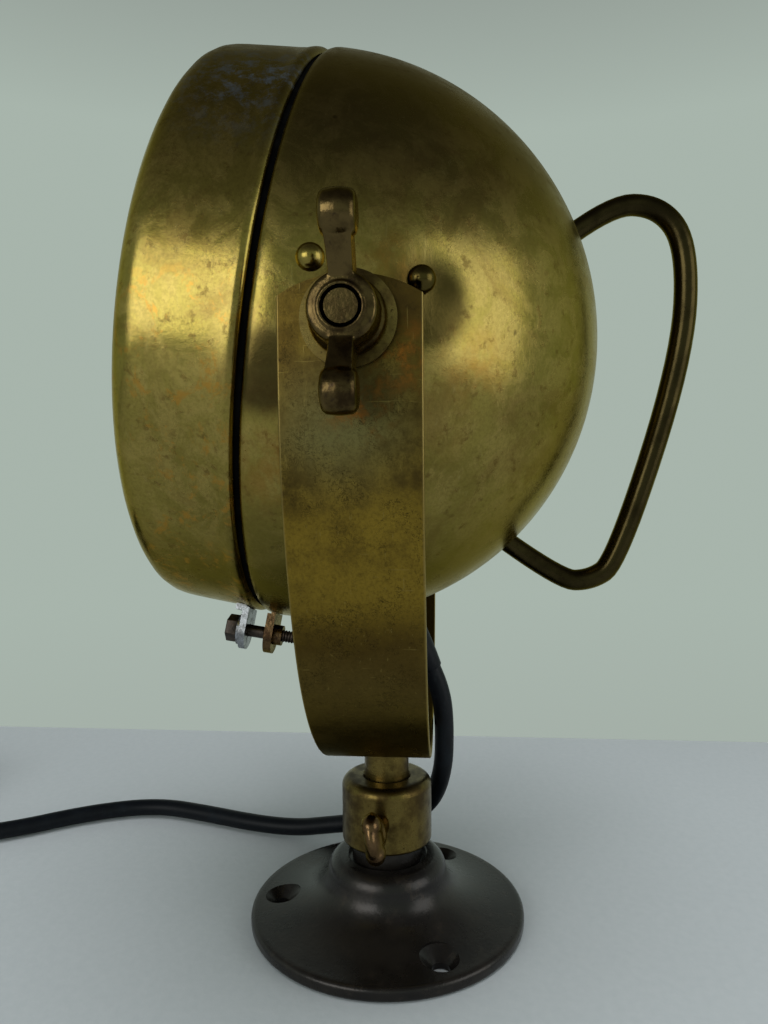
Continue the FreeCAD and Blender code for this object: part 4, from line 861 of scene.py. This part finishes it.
seal_colour = seal_finish.mix(seal_bloom, (0.001, 0.001, 0.001), (0.003, 0.003, 0.003))
seal_rubber = seal_finish.surface(
    seal_colour, 0.70 + seal_bloom * 0.2, seal_finish.noise(0.0008, 2), 0.00004, IOR=1.3,
    Specular_IOR_Level=0.05,
)
finished(seal_rubber, "rim_gasket", "lens_gasket")

# Lens and lamp: a domed glass in front of a silvered dish, held by four springs, with a
# brass lamp holder through the dish and a small round bulb at its focus.
glass_finish = Finish("lens_glass")
smear = glass_finish.noise(0.018, 5, 0.6)
lens_glass = glass_finish.surface(
    (0.93, 0.96, 0.95), 0.02 + smear * 0.05, glass_finish.noise(0.040, 2), 0.00004,
    Transmission_Weight=1.0, IOR=1.5,
)
silver_finish = Finish("silvered")
breath = silver_finish.patches(0.014, 6, 0.65, 0.45, 0.75)
silver_colour = silver_finish.mix(breath * 0.5, (0.86, 0.86, 0.85), (0.58, 0.55, 0.48))
silvered = silver_finish.surface(
    silver_colour, 0.07 + breath * 0.12, silver_finish.noise(0.012, 2), 0.00003, Metallic=1.0
)
spring_finish = Finish("spring_steel")
temper = spring_finish.patches(0.003, 4, 0.55, 0.4, 0.7)
spring_colour = spring_finish.mix(temper, (0.42, 0.42, 0.42), (0.26, 0.22, 0.17))
spring_steel = spring_finish.surface(
    spring_colour, 0.28 + temper * 0.12, temper, 0.00002, Metallic=1.0
)
zinc_finish = Finish("zinc_plate")
spangle = zinc_finish.patches(0.0025, 5, 0.6, 0.4, 0.7)
zinc_colour = zinc_finish.mix(spangle, (0.33, 0.34, 0.36), (0.15, 0.15, 0.15))
zinc_plate = zinc_finish.surface(
    zinc_colour, 0.24 + spangle * 0.14, spangle, 0.00002, Metallic=1.0
)
mould_finish = Finish("insulator")
flecks = mould_finish.patches(0.0012, 4, 0.55, 0.5, 0.7)
mould_colour = mould_finish.mix(flecks, (0.075, 0.032, 0.016), (0.15, 0.070, 0.035))
insulator = mould_finish.surface(mould_colour, 0.35, flecks, 0.00002)

lens_pole = 0.044497
lens_curve = 0.290


def lens_line(thickness, start, end, steps):
    """Points of the lens's face, or of its back face with the thickness given."""
    points = []
    curve = lens_curve - thickness
    for k in range(steps + 1):
        radius = start + (end - start) * k / steps
        points.append((radius, lens_pole - lens_curve + math.sqrt(curve ** 2 - radius ** 2)))
    return points


lens_thickness = 0.003
lens_edge = 0.083
lens_profile = lens_line(lens_thickness, 0, lens_edge, 20) + lens_line(0, lens_edge, 0, 20)
lens = placed(spun(lens_profile, steps=128), head_place)
piece("domed_lens", lens, lens_glass, "head", ["lens_glass"])

dish_vertex = -0.02467
dish_focus = 0.029
dish_hole = 0.0094
dish_mouth = 0.0790
dish_steps = 32
dish_wall = 0.0009
dish_profile = []
for k in range(dish_steps + 1):
    radius = dish_hole + (dish_mouth - dish_hole) * k / dish_steps
    dish_profile.append((radius, dish_vertex + radius ** 2 / (4 * dish_focus)))
dish_profile += [(0.0795, 0.02913), (0.0845, 0.02913)]
dish = placed(spun(dish_profile, steps=128, wall=dish_wall), head_place)
piece("dish", dish, silvered, "head", ["reflector"])
finished(spring_steel, "glass_clips", "handle_nuts")
finished(turned_brass, "lamp_holder", "holder_contacts", "bulb_cap", "gland_nut")
finished(insulator, "holder_insulator")
finished(seal_rubber, "inner_leads")
finished(lens_glass, "bulb_glass")
finished(dark_steel, "bulb_filament")

# Pivots: on each side a plate with four domed rivets backs the shell, and a stud goes out
# through spacer, strap and washer to a cast bronze wing nut with a raised round lip.
pivot_height = 0.188
nut_start = 0.09705
nut_profile = [
    (0.00355, 0), (0.0086, 0), (0.0086, 0.0016), (0.0083, 0.0026), (0.0075, 0.0040),
    (0.0074, 0.0104), (0.0070, 0.0113), (0.0062, 0.0116), (0.0050, 0.0116), (0.0049, 0.0120),
    (0.0042, 0.0120), (0.00415, 0.0098), (0.00355, 0.0098),
]
pad_profile = [
    (0, -0.0038), (0.0030, -0.0038), (0.0040, -0.0035), (0.0046, -0.0027), (0.0048, -0.0012),
    (0.0049, 0),
]
pad_profile += [(radius, -z) for radius, z in reversed(pad_profile[:-1])]
pad_reach = 0.0173
pad_height = 0.0142
neck_ends = ((0.0050, 0.0062, 0.0050, 0.0088), (0.0150, 0.0138, 0.0056, 0.0066))


def wing_nut():
    """Barrel and two ears, one to each side, each swelling to a rounded thumb pad."""
    nut = spun(nut_profile, steps=64, closed=True)
    for way in (-1, 1):
        neck = bmesh.new()
        for x, z, wide, tall in neck_ends:
            end_place = Matrix.Translation((way * x, 0, z)) @ sized(0.001, wide, tall)
            bmesh.ops.create_cube(neck, size=1, matrix=end_place)
        bmesh.ops.convex_hull(neck, input=neck.verts)
        nut.from_mesh(placed(neck))
        pad_place = Matrix.Translation((way * pad_reach, 0, pad_height))
        pad_place = pad_place @ Matrix.Rotation(math.radians(90), 4, "X")
        nut.from_mesh(placed(spun(pad_profile, steps=48), pad_place))
    return nut


for side, name in ((1, "near"), (-1, "far")):
    nut_place = Matrix.Translation((side * nut_start, 0, pivot_height))
    nut_place = nut_place @ Matrix.Rotation(math.radians(90 * side), 4, "Y")
    nut = placed(cast(wing_nut(), grain_size=0.00027, softened=5), nut_place)
    piece("cast_wing_nut_" + name, nut, bronze, "wing_nut_" + name, ["wing_nut_" + name])
    for part in ("pivot_washer_", "pivot_plate_", "pivot_spacer_"):
        finished(turned_brass, part + name)
    finished(shell_brass, "pivot_rivets_" + name)
    finished(bronze, "pivot_stud_" + name)

# Rim clamp: a plated bracket on the rim and a brass lug on the shell, drawn together by
# a long blackened screw with a hexagon head.
clamp_turn = math.radians(15)
clamp_drop = 0.0968
clamp_place = head_place @ Matrix.Rotation(clamp_turn, 4, "Z")
clamp_place = clamp_place @ Matrix.Translation((0, -clamp_drop, 0))
thread_pitch = 0.0009
thread_turns = 18
turn_steps = 20
thread_start = -0.0164
root = 0.0016
crest = 0.0019
shank_middle = 0.0045
shank_length = 0.0086
hexagon_radius = 0.00439
thread = bmesh.new()
flank = [
    thread.verts.new((radius, 0, height))
    for radius, height in ((root, 0), (crest, 0.00038), (crest, 0.00052), (root, thread_pitch))
]
flank_lines = [thread.edges.new(pair) for pair in zip(flank, flank[1:])]
bmesh.ops.spin(
    thread, geom=flank + flank_lines, axis=(0, 0, 1), cent=(0, 0, 0),
    steps=turn_steps * thread_turns, angle=2 * math.pi * thread_turns,
    dvec=(0, 0, thread_pitch / turn_steps), use_merge=False, use_duplicate=False,
)
bmesh.ops.remove_doubles(thread, verts=thread.verts, dist=same_point)
open_edges = [e for e in thread.edges if len(e.link_faces) == 1]
bmesh.ops.holes_fill(thread, edges=open_edges, sides=0)
bmesh.ops.translate(thread, vec=(0, 0, thread_start), verts=thread.verts)
shank_place = Matrix.Translation((0, 0, shank_middle)) @ sized(1, 1, shank_length)
rod(thread, shank_place, crest, crest)
hexagon = bmesh.new()
bmesh.ops.create_cone(
    hexagon, cap_ends=True, segments=6, radius1=hexagon_radius, radius2=hexagon_radius,
    depth=0.0036, matrix=Matrix.Translation((0, 0, 0.0102)),
)
bmesh.ops.bevel(
    hexagon, geom=hexagon.edges[:], offset=0.00035, segments=3, profile=0.5, affect="EDGES",
    material=-1,
)
thread.from_mesh(placed(hexagon))
bmesh.ops.recalc_face_normals(thread, faces=thread.faces)
bolt = placed(thread, clamp_place)
piece("clamp_bolt", bolt, dark_steel, "clamp_screw", ["clamp_screw"])
finished(zinc_plate, "rim_tab", "clamp_washer")
finished(bronze, "shell_tab")

# Handle: a round brass rod bent in one plane, hammered thinner where its ends go through
# the back of the shell into their nuts.
handle_line = [
    (31.21, -0.01011),
    (35.20, 0.01492),
    (31.19, 0.03067),
    (23.74, 0.03499),
    (6.72, 0.02942),
    (-27.45, 0.03195),
    (-32.21, 0.02893),
    (-35.69, 0.02122),
    (-38.50, -0.00779),
]
handle_points = []
for angle, standoff in handle_line:
    reach = shell_radius + standoff
    up = reach * math.sin(math.radians(angle))
    handle_points.append((0, up, ball_centre.z - reach * math.cos(math.radians(angle))))
handle_thickness = [0.0034, 0.0034, 0.0036, 0.0037, 0.0038, 0.0037, 0.0036, 0.0035, 0.0034]
handle_finish = Finish("handle_brass")
worn = handle_finish.patches(0.018, 5, 0.6, 0.38, 0.68)
nicks = handle_finish.patches(0.0020, 4, 0.65, 0.60, 0.72)
handle_colour = handle_finish.layered(
    (0.046, 0.035, 0.013),
    (worn, (0.020, 0.015, 0.006)),
    (nicks * 0.6, (0.018, 0.012, 0.007)),
)
handle_brass = handle_finish.surface(
    handle_colour, 0.22 + worn * 0.14, handle_finish.noise(0.005, 3), 0.00008, Metallic=1.0,
    Specular_Tint=gold_edge,
)
handle_mesh = nurbs_mesh("handle", handle_points, handle_thickness)
handle_mesh.transform(head_place)
piece("bent_handle", handle_mesh, handle_brass, "head", ["handle"])

# Cord outlet: a turned brass gland under the body, with a tapered rubber sleeve below it
# that keeps the lead from kinking.
finished(turned_brass, "cable_gland")
boot_profile = [
    (0.0037, 0), (0.0055, 0), (0.0055, 0.0012), (0.0054, 0.0030), (0.0052, 0.0070),
    (0.0049, 0.0110), (0.0045, 0.0150), (0.0041, 0.0182), (0.0039, 0.0197), (0.0037, 0.0200),
]
boot_way = (Vector(upper_route[1]) - gland_mouth).normalized()
boot = placed(spun(boot_profile, steps=48, closed=True), standing(gland_mouth, boot_way))
piece("boot_sleeve", boot, cord_rubber, "head", ["cord_boot"])

# Studio: a pale table top, an even pale room that darkens overhead, a window and a paler
# side of the room at the lamp's near side, and a soft light above that isn't mirrored.
table_half_size = (0.85, 1.4, 1)
table_middle = (0.665, 0, -0.0003)
floor = bmesh.new()
bmesh.ops.create_grid(floor, x_segments=1, y_segments=1, size=1)
bmesh.ops.scale(floor, vec=table_half_size, verts=floor.verts)
bmesh.ops.translate(floor, vec=table_middle, verts=floor.verts)
table_finish = Finish("table_top")
table_grain = table_finish.noise(0.003, 3)
table_colour = table_finish.mix(table_grain, (0.51, 0.56, 0.59), (0.58, 0.62, 0.65))
table_top = bpy.data.objects.new("table_top", placed(floor))
table_top.data.materials.append(table_finish.surface(table_colour, 0.75, table_grain, 0.00010))
bpy.context.collection.objects.link(table_top)

world = bpy.data.worlds.new("room")
bpy.context.scene.world = world
world.use_nodes = True
room = world.node_tree
way = room.nodes.new("ShaderNodeTexCoord")
split = room.nodes.new("ShaderNodeSeparateXYZ")
ramp = room.nodes.new("ShaderNodeValToRGB")
lift = room.nodes.new("ShaderNodeMapRange")
lift.inputs["From Min"].default_value = -1
room.links.new(way.outputs["Generated"], split.inputs[0])
room.links.new(split.outputs[2], lift.inputs["Value"])
room.links.new(lift.outputs[0], ramp.inputs[0])
room.links.new(ramp.outputs[0], room.nodes["Background"].inputs[0])
stops = [
    (0.0, (0.30, 0.31, 0.30)), (0.42, (0.39, 0.46, 0.41)), (0.70, (0.39, 0.46, 0.41)),
    (0.86, (0.16, 0.17, 0.16)), (1.0, (0.08, 0.08, 0.08)),
]
ramp.color_ramp.elements[0].position = stops[0][0]
ramp.color_ramp.elements[0].color = (*stops[0][1], 1)
ramp.color_ramp.elements[1].position = stops[-1][0]
ramp.color_ramp.elements[1].color = (*stops[-1][1], 1)
for position, colour in stops[1:-1]:
    ramp.color_ramp.elements.new(position).color = (*colour, 1)

lamp_middle = Vector((0, 0, 0.16))
for name, place, wide, tall, power in (
    ("window", (0.42, 1.02, 0.36), 0.7, 0.75, 2.7),
    ("room_side", (1.00, -0.66, 0.42), 0.80, 0.62, 4.3),
    ("overhead", (0.25, 0.1, 1.3), 0.9, 0.9, 8.0),
):
    light = bpy.data.lights.new(name, "AREA")
    light.shape = "RECTANGLE"
    light.size = wide
    light.size_y = tall
    light.energy = power
    light_object = bpy.data.objects.new(name, light)
    light_object.location = place
    light_object.rotation_euler = (lamp_middle - Vector(place)).to_track_quat("-Z", "Y").to_euler()
    light_object.visible_glossy = name != "overhead"
    bpy.context.collection.objects.link(light_object)
